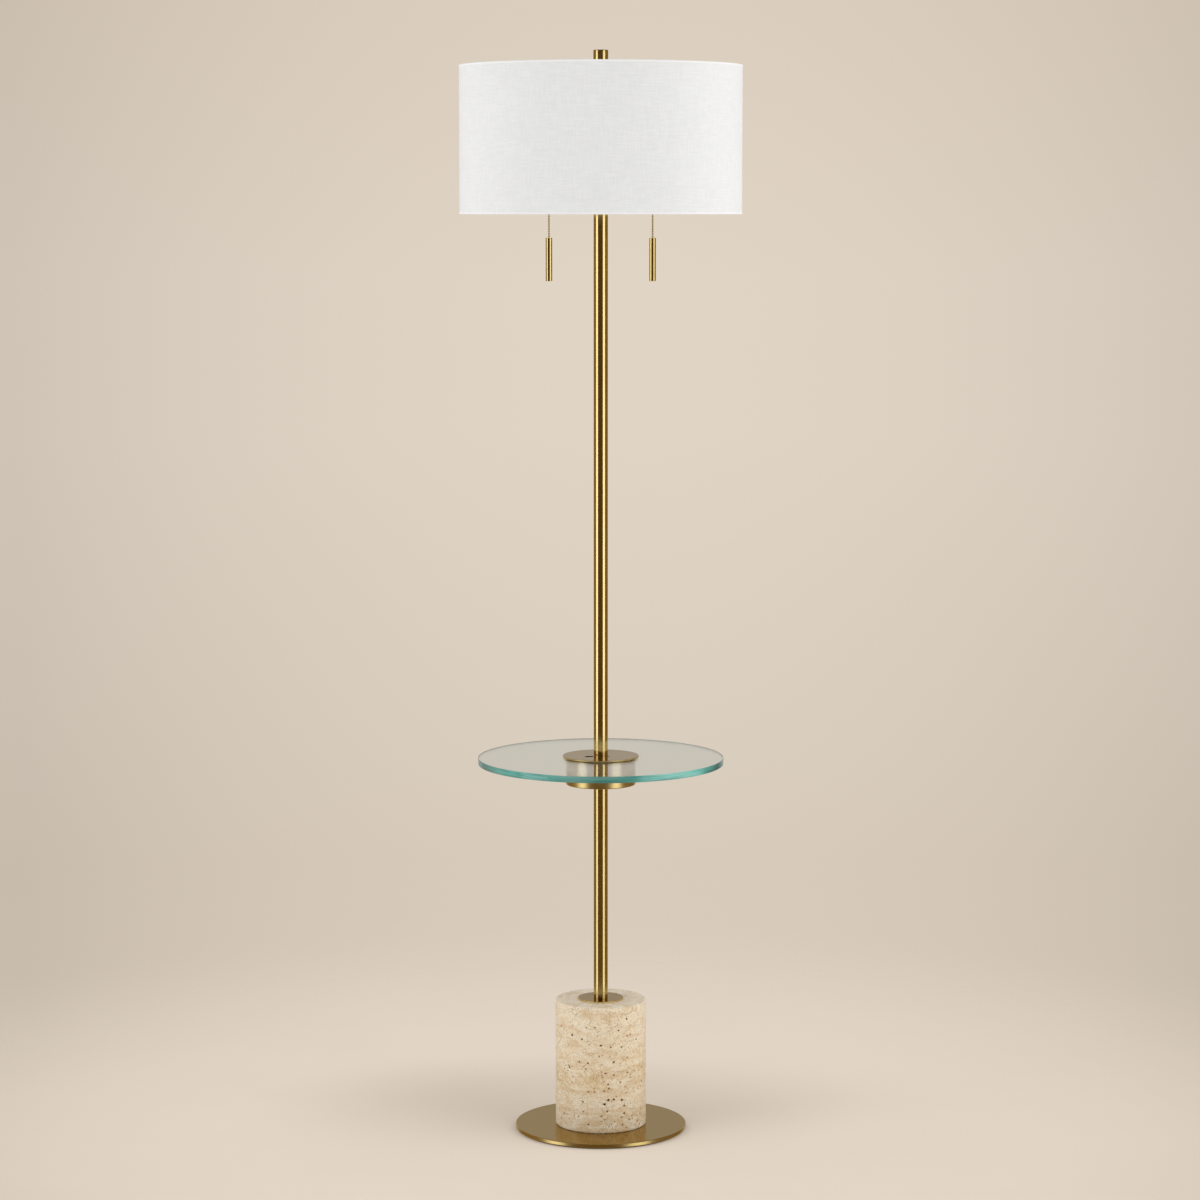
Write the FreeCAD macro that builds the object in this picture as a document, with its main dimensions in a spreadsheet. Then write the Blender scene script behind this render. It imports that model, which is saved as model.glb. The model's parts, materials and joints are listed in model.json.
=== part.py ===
import FreeCAD, Part
import math
import os
import re

import Sketcher

# Shelf floor lamp: a brass stem on a travertine block and a round plate, a round glass
# shelf clamped on the stem, and a drum shade over two pull-chain sockets.
# +Z is up, +X is the right-hand pull, -Y is the front. The origin is on the floor,
# under the middle of the stem. All lengths are in millimetres, angles in degrees.

DIMENSIONS = {
    # Base plate and what is under it
    "pad_radius": 129.0,
    "pad_hole_radius": 20.0,
    "pad_thickness": 2.0,
    "plate_radius": 133.35,
    "plate_thickness": 6.0,
    "plate_rim_chamfer": 0.6,
    "recess_radius": 15.0,
    "recess_depth": 4.2,
    # Travertine block
    "stone_radius": 70.7,
    "stone_height": 198.0,
    "stone_edge_round": 2.4,
    "stone_bore_radius": 6.2,
    "cord_height": 18.0,
    "cord_hole_radius": 3.6,
    "bushing_radius": 6.0,
    "bushing_length": 16.0,
    "bushing_flange_radius": 8.5,
    "bushing_flange_thickness": 2.0,
    "spot_face_depth": 0.8,
    # Threaded pipe that ties the lower half together, with its nuts and washers
    "pipe_radius": 4.85,
    "pipe_bore_radius": 3.4,
    "pipe_overlap": 13.0,
    "nut_flats": 16.0,
    "nut_thickness": 3.2,
    "washer_radius": 11.0,
    "washer_thickness": 0.9,
    "fit_gap": 0.05,
    # Stem
    "stem_radius": 11.1,
    "stem_wall": 1.2,
    "spigot_height": 4.0,
    "flange_radius": 35.2,
    "flange_thickness": 2.2,
    "flange_chamfer": 0.4,
    "lower_stem_length": 338.0,
    "upper_stem_length": 893.0,
    "plug_height": 14.0,
    "stem_cap_thickness": 3.0,
    "stem_cap_chamfer": 0.6,
    # Shelf
    "cup_radius": 54.3,
    "cup_height": 32.0,
    "cup_wall": 2.0,
    "cup_floor": 3.0,
    "cup_corner": 0.8,
    "gasket_thickness": 0.5,
    "glass_radius": 190.5,
    "glass_thickness": 10.0,
    "glass_arris": 0.5,
    "glass_hole_radius": 8.0,
    "disc_radius": 58.9,
    "disc_thickness": 2.0,
    "disc_chamfer": 0.3,
    "disc_gasket_inset": 2.0,
    "slot_radius": 5.0,
    "slot_length": 4.0,
    "slot_side": 18.0,
    "slot_front": 14.0,
    "pin_hole_radius": 2.2,
    "pin_hole_side": 11.6,
    "pin_hole_front": 14.0,
    # Cluster body between the sockets
    "cluster_radius": 15.0,
    "cluster_height": 40.0,
    "cluster_corner": 3.0,
    "pipe_engagement": 10.0,
    "arm_radius": 6.5,
    "arm_length": 31.0,
    # Pull-chain sockets
    "cap_radius": 19.4,
    "cap_neck_radius": 8.0,
    "cap_length": 20.0,
    "cap_skirt": 7.0,
    "socket_wall": 0.7,
    "shell_length": 43.0,
    "shell_lip": 0.9,
    "interior_gap": 1.0,
    "interior_length": 22.0,
    "contact_shell_radius": 14.2,
    "contact_shell_wall": 0.7,
    "contact_shell_length": 18.0,
    "guide_setback": 33.2,
    "guide_radius": 2.9,
    "guide_bore_radius": 1.9,
    "guide_depth": 5.0,
    "guide_nut_radius": 5.2,
    "guide_nut_height": 2.2,
    "guide_neck": 5.7,
    "guide_flare_height": 5.6,
    "guide_flare_radius": 6.4,
    "guide_wall": 0.7,
    # Bulbs
    "bulb_base_radius": 13.2,
    "bulb_base_length": 24.5,
    "bulb_tip_radius": 4.6,
    "bulb_tip_height": 4.5,
    "bulb_neck_radius": 12.7,
    "bulb_neck_length": 7.0,
    "bulb_radius": 30.0,
    "bulb_flare": 22.0,
    "bulb_wall": 0.8,
    # Pull chains and the bars on them
    "bead_radius": 1.55,
    "bead_pitch": 3.75,
    "link_radius": 0.5,
    "chain_length": 90.0,
    "bar_radius": 5.05,
    "bar_length": 66.0,
    "bar_chamfer": 0.5,
    "bar_seat_radius": 1.95,
    "bar_seat_depth": 3.6,
    "bar_mouth_radius": 3.4,
    "bead_sink": 1.3,
    # Riser and finial
    "riser_length": 110.4,
    "riser_radius": 6.35,
    "riser_rod_radius": 3.2,
    "seat_radius": 12.0,
    "seat_thickness": 2.0,
    "finial_radius": 11.45,
    "finial_height": 31.0,
    "finial_chamfer": 0.4,
    "finial_washer_thickness": 0.6,
    # Drum shade
    "shade_radius": 216.0,
    "shade_height": 224.8,
    "fabric_thickness": 0.6,
    "liner_thickness": 0.8,
    "trim_thickness": 0.4,
    "trim_height": 5.0,
    "trim_lap": 3.0,
    "ring_wire_radius": 1.6,
    "spider_wire_radius": 1.6,
    "spider_drop": 8.3,
    "spider_bend": 9.0,
    "hub_radius": 13.0,
    "hub_thickness": 3.6,
}
SPIDER_ARMS = 3
SIDES = {"right": 0, "left": 180}


def sums(*terms):
    """One expression that adds the terms up."""
    return "(" + " + ".join(terms) + ")"


# Heights above the floor, each one standing on the piece below it
PLATE_TOP = sums("pad_thickness", "plate_thickness")
RECESS_TOP = sums("pad_thickness", "recess_depth")
BASE_NUT = sums(RECESS_TOP, "-washer_thickness", "-nut_thickness")
STONE_TOP = sums(PLATE_TOP, "stone_height")
FLANGE_TOP = sums(STONE_TOP, "flange_thickness")
CUP_BOTTOM = sums(FLANGE_TOP, "lower_stem_length")
CUP_INSIDE = sums(CUP_BOTTOM, "cup_floor")
CUP_TOP = sums(CUP_BOTTOM, "cup_height")
GLASS_BOTTOM = sums(CUP_TOP, "gasket_thickness")
GLASS_TOP = sums(GLASS_BOTTOM, "glass_thickness")
DISC_BOTTOM = sums(GLASS_TOP, "gasket_thickness")
DISC_TOP = sums(DISC_BOTTOM, "disc_thickness")
STEM_TOP = sums(DISC_TOP, "upper_stem_length")
CLUSTER_BOTTOM = sums(STEM_TOP, "stem_cap_thickness")
CLUSTER_TOP = sums(CLUSTER_BOTTOM, "cluster_height")
SOCKET_AXIS = sums(CLUSTER_BOTTOM, "cluster_height / 2")
SEAT_BOTTOM = sums(CLUSTER_TOP, "riser_length")
HUB_BOTTOM = sums(SEAT_BOTTOM, "seat_thickness")
HUB_TOP = sums(HUB_BOTTOM, "hub_thickness")
FINIAL_BOTTOM = sums(HUB_TOP, "finial_washer_thickness")
SHADE_TOP = sums(HUB_TOP, "spider_drop")
SHADE_BOTTOM = sums(SHADE_TOP, "-shade_height")

# Radii that follow their neighbours
STEM_BORE = "(stem_radius - stem_wall)"
SPIGOT_RADIUS = "(stem_radius - stem_wall - fit_gap)"
PIPE_HOLE = "(pipe_radius + fit_gap)"
SHELL_RADIUS = "(cap_radius - socket_wall - fit_gap)"
INTERIOR_RADIUS = sums(SHELL_RADIUS, "-socket_wall", "-interior_gap")
LINER_OUTER = "(shade_radius - trim_thickness - fabric_thickness - 2 * fit_gap)"
LINER_INNER = sums(LINER_OUTER, "-liner_thickness")
RING_RADIUS = sums(LINER_INNER, "-fit_gap", "-ring_wire_radius")

# Places along a socket, from the back of its cap
CAP_BACK = "(cluster_radius + arm_length)"
SHELL_START = "(cap_length - cap_skirt / 2)"
INTERIOR_START = sums(SHELL_START, "interior_gap")
INTERIOR_END = sums(INTERIOR_START, "interior_length")
SHELL_END = sums(SHELL_START, "shell_length")
CHAIN_SIDE = sums(CAP_BACK, "guide_setback")

# Depths below a socket's axis, down its chain guide and chain
GUIDE_TOP = sums(INTERIOR_RADIUS, "-guide_depth")
GUIDE_NUT_BOTTOM = sums(SHELL_RADIUS, "fit_gap", "guide_nut_height")
FLARE_TOP = sums(GUIDE_NUT_BOTTOM, "guide_neck")
GUIDE_BOTTOM = sums(FLARE_TOP, "guide_flare_height")
CHAIN_PIVOT = sums(FLARE_TOP, "guide_flare_height / 2")

doc = FreeCAD.newDocument("ShelfFloorLamp")
sheet = doc.addObject("Spreadsheet::Sheet", "Sheet")
for row, (alias, size) in enumerate(DIMENSIONS.items(), start=1):
    sheet.set("A%d" % row, alias.replace("_", " "))
    sheet.set("B%d" % row, str(size))
    sheet.setAlias("B%d" % row, alias)
doc.recompute()

nodes = {}


def cells(text):
    """The expression with each dimension read from the sheet."""
    return re.sub(r"[a-z_]+", lambda word: _cell(word.group()), text)


def _cell(word):
    return "Sheet." + word if word in DIMENSIONS else word


def value(text):
    """What an expression comes to now."""
    return float(sheet.evalExpression(cells(text)))


def bind(thing, prop, text):
    thing.setExpression(prop, cells(text))


def place(thing, x="0", y="0", z="0", turn=None):
    """Gives a sub-part its place, bound to the sheet, and its turn."""
    thing.Placement = FreeCAD.Placement(FreeCAD.Vector(), turn or FreeCAD.Rotation())
    for letter, text in (("x", x), ("y", y), ("z", z)):
        if text != "0":
            bind(thing, "Placement.Base." + letter, text)


def new_body(name):
    """An empty body whose label names its file."""
    body = doc.addObject("PartDesign::Body", "Body_" + name)
    body.Label = name
    nodes[name] = body
    return body


def new_sketch(body, role, name):
    sketch = body.newObject("Sketcher::SketchObject", body.Label + "_" + name)
    planes = [p for p in body.Origin.OriginFeatures if p.Role == role]
    sketch.AttachmentSupport = [(planes[0], "")]
    sketch.MapMode = "FlatFace"
    return sketch


def pin_down(sketch, index, end, x, y):
    """Holds one end of a line or a centre at x and y, measured from the origin."""
    for kind, axis, text in (("DistanceX", -2, x), ("DistanceY", -1, y)):
        if text == "0":
            sketch.addConstraint(Sketcher.Constraint("PointOnObject", index, end, axis))
            continue
        rule = Sketcher.Constraint(kind, -1, 1, index, end, value(text))
        bind(sketch, "Constraints[%d]" % sketch.addConstraint(rule), text)


def arc_to(start, stop, radius):
    """The arc of a radius from start to stop, turning left, or right if the radius is under zero."""
    chord = stop - start
    across = FreeCAD.Vector(-chord.y, chord.x, 0).normalize()
    reach = math.sqrt(radius ** 2 - (chord.Length / 2) ** 2)
    centre = (start + stop) / 2 + across * math.copysign(reach, radius)
    first, last = (start, stop) if radius > 0 else (stop, start)
    angles = [math.atan2(p.y - centre.y, p.x - centre.x) for p in (first, last)]
    circle = Part.Circle(centre, FreeCAD.Vector(0, 0, 1), abs(radius))
    return Part.ArcOfCircle(circle, *angles)


def draw_outline(sketch, outline, closed=True):
    """Lines and arcs through the corners, each a pair of expressions.

    A third entry is the radius of the arc that arrives at that corner, with a minus sign
    in front if the arc turns right."""
    corners = [FreeCAD.Vector(value(c[0]), value(c[1]), 0) for c in outline]
    pieces = list(range(len(outline) if closed else len(outline) - 1))
    starts, stops = {}, {}
    for i in pieces:
        goal = outline[(i + 1) % len(outline)]
        start, stop = corners[i], corners[(i + 1) % len(outline)]
        starts[i], stops[i] = 1, 2
        if len(goal) == 2:
            sketch.addGeometry(Part.LineSegment(start, stop))
            continue
        right = goal[2].startswith("-")
        radius = goal[2].lstrip("-")
        sketch.addGeometry(arc_to(start, stop, value(goal[2])))
        if right:
            starts[i], stops[i] = 2, 1
        rule = Sketcher.Constraint("Radius", i, value(radius))
        bind(sketch, "Constraints[%d]" % sketch.addConstraint(rule), radius)
    for i in pieces:
        pin_down(sketch, i, starts[i], outline[i][0], outline[i][1])
        after = (i + 1) % len(outline)
        if after in starts:
            joint = Sketcher.Constraint("Coincident", i, stops[i], after, starts[after])
            sketch.addConstraint(joint)
        else:
            pin_down(sketch, i, stops[i], outline[after][0], outline[after][1])


def draw_circle(sketch, radius, x="0", y="0"):
    centre = FreeCAD.Vector(value(x), value(y), 0)
    circle = Part.Circle(centre, FreeCAD.Vector(0, 0, 1), value(radius))
    index = sketch.addGeometry(circle)
    pin_down(sketch, index, 3, x, y)
    rule = Sketcher.Constraint("Radius", index, value(radius))
    bind(sketch, "Constraints[%d]" % sketch.addConstraint(rule), radius)


def turned(name, outline, **where):
    """A body turned on its own Z axis from an outline of radii and heights."""
    body = new_body(name)
    sketch = new_sketch(body, "XZ_Plane", "outline")
    draw_outline(sketch, outline)
    turn = body.newObject("PartDesign::Revolution", name + "_turned")
    turn.Profile = sketch
    turn.ReferenceAxis = (sketch, ["V_Axis"])
    turn.Angle = 360.0
    place(body, **where)
    return body


def ring(name, outer, inner, height, **where):
    """A tube, washer or gasket with square edges."""
    corners = [(inner, "0"), (outer, "0"), (outer, height), (inner, height)]
    return turned(name, corners, **where)


def pad(body, sketch, length):
    feature = body.newObject("PartDesign::Pad", sketch.Label + "_pad")
    feature.Profile = sketch
    bind(feature, "Length", length)
    return feature


def pocket(body, sketch, length=None, reverse=False):
    """A cut from the sketch, as deep as length says or right through both ways."""
    doc.recompute()
    before = body.Shape.Volume
    feature = body.newObject("PartDesign::Pocket", sketch.Label + "_cut")
    feature.Profile = sketch
    feature.Reversed = reverse
    if length:
        bind(feature, "Length", length)
    else:
        feature.Type = 1
        feature.Midplane = True
    doc.recompute()
    if not body.Shape.Volume < before:
        raise RuntimeError(feature.Label + " cuts nothing")
    return feature


def round_edges(feature, radius, height):
    """The names of a feature's full circles of that radius at that height."""
    found = []
    for i, edge in enumerate(feature.Shape.Edges, start=1):
        curve = edge.Curve
        if not isinstance(curve, Part.Circle):
            continue
        if math.isclose(curve.Radius, radius) and math.isclose(curve.Center.z, height, abs_tol=1e-6):
            found.append("Edge%d" % i)
    return found


def dress(body, kind, prop, size, radius, *heights):
    """A fillet or chamfer on a body's full circles of one radius."""
    doc.recompute()
    base = body.Tip
    names = [n for z in heights for n in round_edges(base, value(radius), value(z))]
    feature = body.newObject("PartDesign::" + kind, "%s_%s" % (body.Label, kind.lower()))
    feature.Base = (base, names)
    bind(feature, prop, size)
    return feature


def hex_nut(name, height):
    """A thin lock nut on the threaded pipe."""
    body = new_body(name)
    sketch = new_sketch(body, "XY_Plane", "hexagon")
    flat = "(nut_flats / 2)"
    corner = "(nut_flats / 2 * tan(30))"
    point = "(nut_flats / 2 / cos(30))"
    hexagon = [
        (point, "0"),
        (corner, flat),
        ("-" + corner, flat),
        ("-" + point, "0"),
        ("-" + corner, "-" + flat),
        (corner, "-" + flat),
    ]
    draw_outline(sketch, hexagon)
    pad(body, sketch, "nut_thickness")
    hole = new_sketch(body, "XY_Plane", "thread")
    draw_circle(hole, PIPE_HOLE)
    pocket(body, hole)
    place(body, z=height)
    return body


def base_plate():
    """The round plate, with a recess under it for the nut."""
    body = new_body("base_plate")
    disc = new_sketch(body, "XY_Plane", "disc")
    draw_circle(disc, "plate_radius")
    pad(body, disc, "plate_thickness")
    dress(body, "Chamfer", "Size", "plate_rim_chamfer", "plate_radius", "0", "plate_thickness")
    hole = new_sketch(body, "XY_Plane", "pipe_hole")
    draw_circle(hole, PIPE_HOLE)
    pocket(body, hole)
    recess = new_sketch(body, "XY_Plane", "recess")
    draw_circle(recess, "recess_radius")
    pocket(body, recess, "recess_depth", reverse=True)
    place(body, z="pad_thickness")


def travertine_block():
    """The stone cylinder, bored for the pipe, with the cord's way out at the back."""
    body = new_body("travertine_block")
    disc = new_sketch(body, "XY_Plane", "disc")
    draw_circle(disc, "stone_radius")
    pad(body, disc, "stone_height")
    dress(body, "Fillet", "Radius", "stone_edge_round", "stone_radius", "stone_height")
    bore = new_sketch(body, "XY_Plane", "bore")
    draw_circle(bore, "stone_bore_radius")
    pocket(body, bore)
    channel = new_sketch(body, "XZ_Plane", "cord_channel")
    draw_circle(channel, "bushing_radius + fit_gap", y="cord_height")
    pocket(body, channel, "stone_radius")
    face = new_sketch(body, "XZ_Plane", "spot_face")
    depth = "(stone_radius - spot_face_depth)"
    bind(face, "AttachmentOffset.Base.z", "-" + depth)
    draw_circle(face, "bushing_flange_radius + fit_gap", y="cord_height")
    pocket(body, face, "stone_radius")
    place(body, z=PLATE_TOP)


def cord_bushing():
    """The flanged bushing in the back of the block that the cord passes through."""
    flange_start = "(stone_radius - spot_face_depth)"
    outline = [
        ("cord_hole_radius", "0"),
        ("bushing_radius", "0"),
        ("bushing_radius", "bushing_length"),
        ("bushing_flange_radius", "bushing_length"),
        ("bushing_flange_radius", "bushing_length + bushing_flange_thickness / 2"),
        ("bushing_radius", "bushing_length + bushing_flange_thickness"),
        ("cord_hole_radius", "bushing_length + bushing_flange_thickness"),
    ]
    facing_back = FreeCAD.Rotation(FreeCAD.Vector(1, 0, 0), -90)
    start = sums(flange_start, "-bushing_length")
    height = sums(PLATE_TOP, "cord_height")
    turned("cord_bushing", outline, y=start, z=height, turn=facing_back)


def stone_flange():
    """The thin disc on the stone, with the spigot that centres the stem."""
    top = "flange_thickness"
    outline = [
        (PIPE_HOLE, "0"),
        ("flange_radius", "0"),
        ("flange_radius", sums(top, "-flange_chamfer")),
        ("flange_radius - flange_chamfer", top),
        (SPIGOT_RADIUS, top),
        (SPIGOT_RADIUS, sums(top, "spigot_height")),
        (PIPE_HOLE, sums(top, "spigot_height")),
    ]
    turned("stone_flange", outline, z=STONE_TOP)


def shelf_cup():
    """The open cup under the glass, with a spigot in the lower stem."""
    inner = "(cup_radius - cup_wall)"
    outline = [
        (PIPE_HOLE, "-spigot_height"),
        (SPIGOT_RADIUS, "-spigot_height"),
        (SPIGOT_RADIUS, "0"),
        ("cup_radius - cup_corner", "0"),
        ("cup_radius", "cup_corner"),
        ("cup_radius", "cup_height"),
        (inner, "cup_height"),
        (inner, "cup_floor"),
        (PIPE_HOLE, "cup_floor"),
    ]
    turned("shelf_cup", outline, z=CUP_BOTTOM)


def glass_shelf():
    """The round glass, with a flat edge between two small arrises."""
    outline = [
        ("glass_hole_radius", "0"),
        ("glass_radius - glass_arris", "0"),
        ("glass_radius", "glass_arris"),
        ("glass_radius", "glass_thickness - glass_arris"),
        ("glass_radius - glass_arris", "glass_thickness"),
        ("glass_hole_radius", "glass_thickness"),
    ]
    turned("glass_shelf", outline, z=GLASS_BOTTOM)


def clamp_disc():
    """The disc on the glass, with a slot with round ends and a pin hole in front of the stem."""
    outline = [
        (PIPE_HOLE, "0"),
        ("disc_radius", "0"),
        ("disc_radius", "disc_thickness - disc_chamfer"),
        ("disc_radius - disc_chamfer", "disc_thickness"),
        (PIPE_HOLE, "disc_thickness"),
    ]
    body = turned("clamp_disc", outline, z=DISC_BOTTOM)
    slot = new_sketch(body, "XY_Plane", "slot")
    left = "(-slot_side - slot_length / 2)"
    right = "(-slot_side + slot_length / 2)"
    near = "(-slot_front - slot_radius)"
    far = "(-slot_front + slot_radius)"
    draw_outline(slot, [(left, near), (right, near), (right, far), (left, far)])
    pocket(body, slot)
    for label, end in (("slot_left_end", left), ("slot_right_end", right)):
        round_end = new_sketch(body, "XY_Plane", label)
        draw_circle(round_end, "slot_radius", end, "-slot_front")
        pocket(body, round_end)
    hole = new_sketch(body, "XY_Plane", "pin_hole")
    draw_circle(hole, "pin_hole_radius", "pin_hole_side", "-pin_hole_front")
    pocket(body, hole)


def stem_cap():
    """The cap that closes the upper stem and carries the cluster body."""
    outline = [
        (PIPE_HOLE, "-plug_height / 2"),
        (SPIGOT_RADIUS, "-plug_height / 2"),
        (SPIGOT_RADIUS, "0"),
        ("stem_radius", "0"),
        ("stem_radius", "stem_cap_thickness - stem_cap_chamfer"),
        ("stem_radius - stem_cap_chamfer", "stem_cap_thickness"),
        (PIPE_HOLE, "stem_cap_thickness"),
    ]
    turned("stem_cap", outline, z=STEM_TOP)


def cluster_body():
    """The round body between the sockets, tapped below, above and at both sides."""
    edge = "(cluster_radius - cluster_corner)"
    rod_hole = "(riser_rod_radius + fit_gap)"
    ledge = "(cluster_height - pipe_engagement)"
    outline = [
        (PIPE_HOLE, "0"),
        (edge, "0"),
        ("cluster_radius", "cluster_corner"),
        ("cluster_radius", "cluster_height - cluster_corner"),
        (edge, "cluster_height"),
        (rod_hole, "cluster_height"),
        (rod_hole, ledge),
        (PIPE_HOLE, ledge),
    ]
    body = turned("cluster_body", outline, z=CLUSTER_BOTTOM)
    bore = new_sketch(body, "YZ_Plane", "arm_bore")
    draw_circle(bore, PIPE_HOLE, y="cluster_height / 2")
    pocket(body, bore)


def finial():
    """The plain cylinder that screws down on the shade."""
    top = "finial_height"
    hole = "(riser_rod_radius + fit_gap)"
    outline = [
        (hole, "0"),
        ("finial_radius - finial_chamfer", "0"),
        ("finial_radius", "finial_chamfer"),
        ("finial_radius", "finial_height - finial_chamfer"),
        ("finial_radius - finial_chamfer", top),
        ("0", top),
        ("0", "pipe_overlap"),
        (hole, "pipe_overlap"),
    ]
    turned("finial", outline, z=FINIAL_BOTTOM)


def trim_outline():
    """The band folded over the shade's edge and its wire, from the inside leg to the outside one."""
    inner_leg = sums(RING_RADIUS, "-ring_wire_radius", "-fit_gap")
    outer_leg = "(shade_radius - trim_thickness)"
    lap_end = "(trim_height - trim_lap)"
    return [
        (inner_leg, "trim_height - trim_thickness"),
        (inner_leg, "0"),
        (sums(inner_leg, "-trim_thickness"), "0"),
        (sums(inner_leg, "-trim_thickness"), "trim_height - trim_thickness"),
        (inner_leg, "trim_height"),
        (outer_leg, "trim_height"),
        ("shade_radius", "trim_height - trim_thickness"),
        ("shade_radius", lap_end),
        (outer_leg, lap_end),
        (outer_leg, "trim_height - trim_thickness"),
    ]


def spider():
    """The hub and three wire arms that carry the shade's top ring."""
    body = new_body("shade_spider")
    disc = new_sketch(body, "XY_Plane", "hub")
    draw_circle(disc, "hub_radius")
    pad(body, disc, "hub_thickness")
    path = new_sketch(body, "XZ_Plane", "arm_path")
    axis_height = "(hub_thickness / 2)"
    end = sums(RING_RADIUS, "-ring_wire_radius", "-trim_thickness", "-3 * fit_gap")
    rise = "(hub_thickness + spider_drop - trim_thickness - ring_wire_radius)"
    knee = sums(end, "-spider_bend - spider_wire_radius")
    corners = [
        ("hub_radius / 2", axis_height),
        (knee, axis_height),
        (sums(end, "-spider_wire_radius"), rise),
        (end, rise),
    ]
    draw_outline(path, corners, closed=False)
    wire = new_sketch(body, "YZ_Plane", "arm_section")
    bind(wire, "AttachmentOffset.Base.z", "hub_radius / 2")
    draw_circle(wire, "spider_wire_radius", y=axis_height)
    arm = body.newObject("PartDesign::AdditivePipe", "shade_spider_arm")
    arm.Profile = wire
    arm.Spine = path
    arm.Transition = 1
    doc.recompute()
    arms = body.newObject("PartDesign::PolarPattern", "shade_spider_arms")
    arms.Originals = [arm]
    arms.Axis = (disc, ["N_Axis"])
    arms.Angle = 360.0
    arms.Occurrences = SPIDER_ARMS
    body.Tip = arms
    hole = new_sketch(body, "XY_Plane", "rod_hole")
    draw_circle(hole, "riser_rod_radius + fit_gap")
    pocket(body, hole)
    place(body, z=HUB_BOTTOM)


def wire_ring(name, height):
    """One of the two wires in the shade's edges."""
    hoop = doc.addObject("Part::Torus", "Hoop_" + name)
    hoop.Label = name
    bind(hoop, "Radius1", RING_RADIUS)
    bind(hoop, "Radius2", "ring_wire_radius")
    place(hoop, z=height)
    nodes[name] = hoop


def shade():
    """The drum: lining, cloth, and the two folded edge bands over their wires."""
    inside_fold = "(trim_thickness + fit_gap)"
    height = sums("shade_height", "-2 * " + inside_fold)
    start = sums(SHADE_BOTTOM, inside_fold)
    ring("shade_liner", LINER_OUTER, LINER_INNER, height, z=start)
    cloth_outer = "(shade_radius - trim_thickness - fit_gap)"
    cloth_inner = sums(cloth_outer, "-fabric_thickness")
    ring("shade_fabric", cloth_outer, cloth_inner, height, z=start)
    upside_down = FreeCAD.Rotation(FreeCAD.Vector(1, 0, 0), 180)
    turned("shade_top_trim", trim_outline(), z=sums(SHADE_TOP, "-trim_height"))
    turned("shade_bottom_trim", trim_outline(), z=sums(SHADE_BOTTOM, "trim_height"), turn=upside_down)
    hang = sums(inside_fold, "ring_wire_radius")
    wire_ring("shade_top_ring", sums(SHADE_TOP, "-" + hang))
    wire_ring("shade_bottom_ring", sums(SHADE_BOTTOM, hang))


def outward(angle):
    """Turns a body's own Z axis to point level and outward at that angle."""
    level = FreeCAD.Rotation(FreeCAD.Vector(0, 1, 0), 90)
    return FreeCAD.Rotation(FreeCAD.Vector(0, 0, 1), angle).multiply(level)


def bead_outline(count):
    """Beads on the axis, one below the other, with a link between each two."""
    corners = [("0", "bead_radius - bead_pitch / 2")]
    for i in range(count):
        centre = "(-%d * bead_pitch - bead_pitch / 2)" % i
        corners.append(("link_radius", sums(centre, "bead_radius")))
        corners.append(("bead_radius", centre))
        corners.append(("link_radius", sums(centre, "-bead_radius")))
    corners.append(("0", sums("bead_pitch / 2", "-bead_radius", "-%d * bead_pitch" % count)))
    return corners


def side_arm(side, angle):
    """What joins the cluster body to one socket."""
    sign = "" if angle == 0 else "-"
    start = sign + "cluster_radius"
    ring("arm_tube_" + side, "arm_radius", PIPE_HOLE, "arm_length",
         x=start, z=SOCKET_AXIS, turn=outward(angle))
    nipple_start = sign + "(cluster_radius - pipe_engagement)"
    nipple_length = "(arm_length + 2 * pipe_engagement)"
    ring("arm_nipple_" + side, "pipe_radius", "pipe_bore_radius", nipple_length,
         x=nipple_start, z=SOCKET_AXIS, turn=outward(angle))


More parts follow.
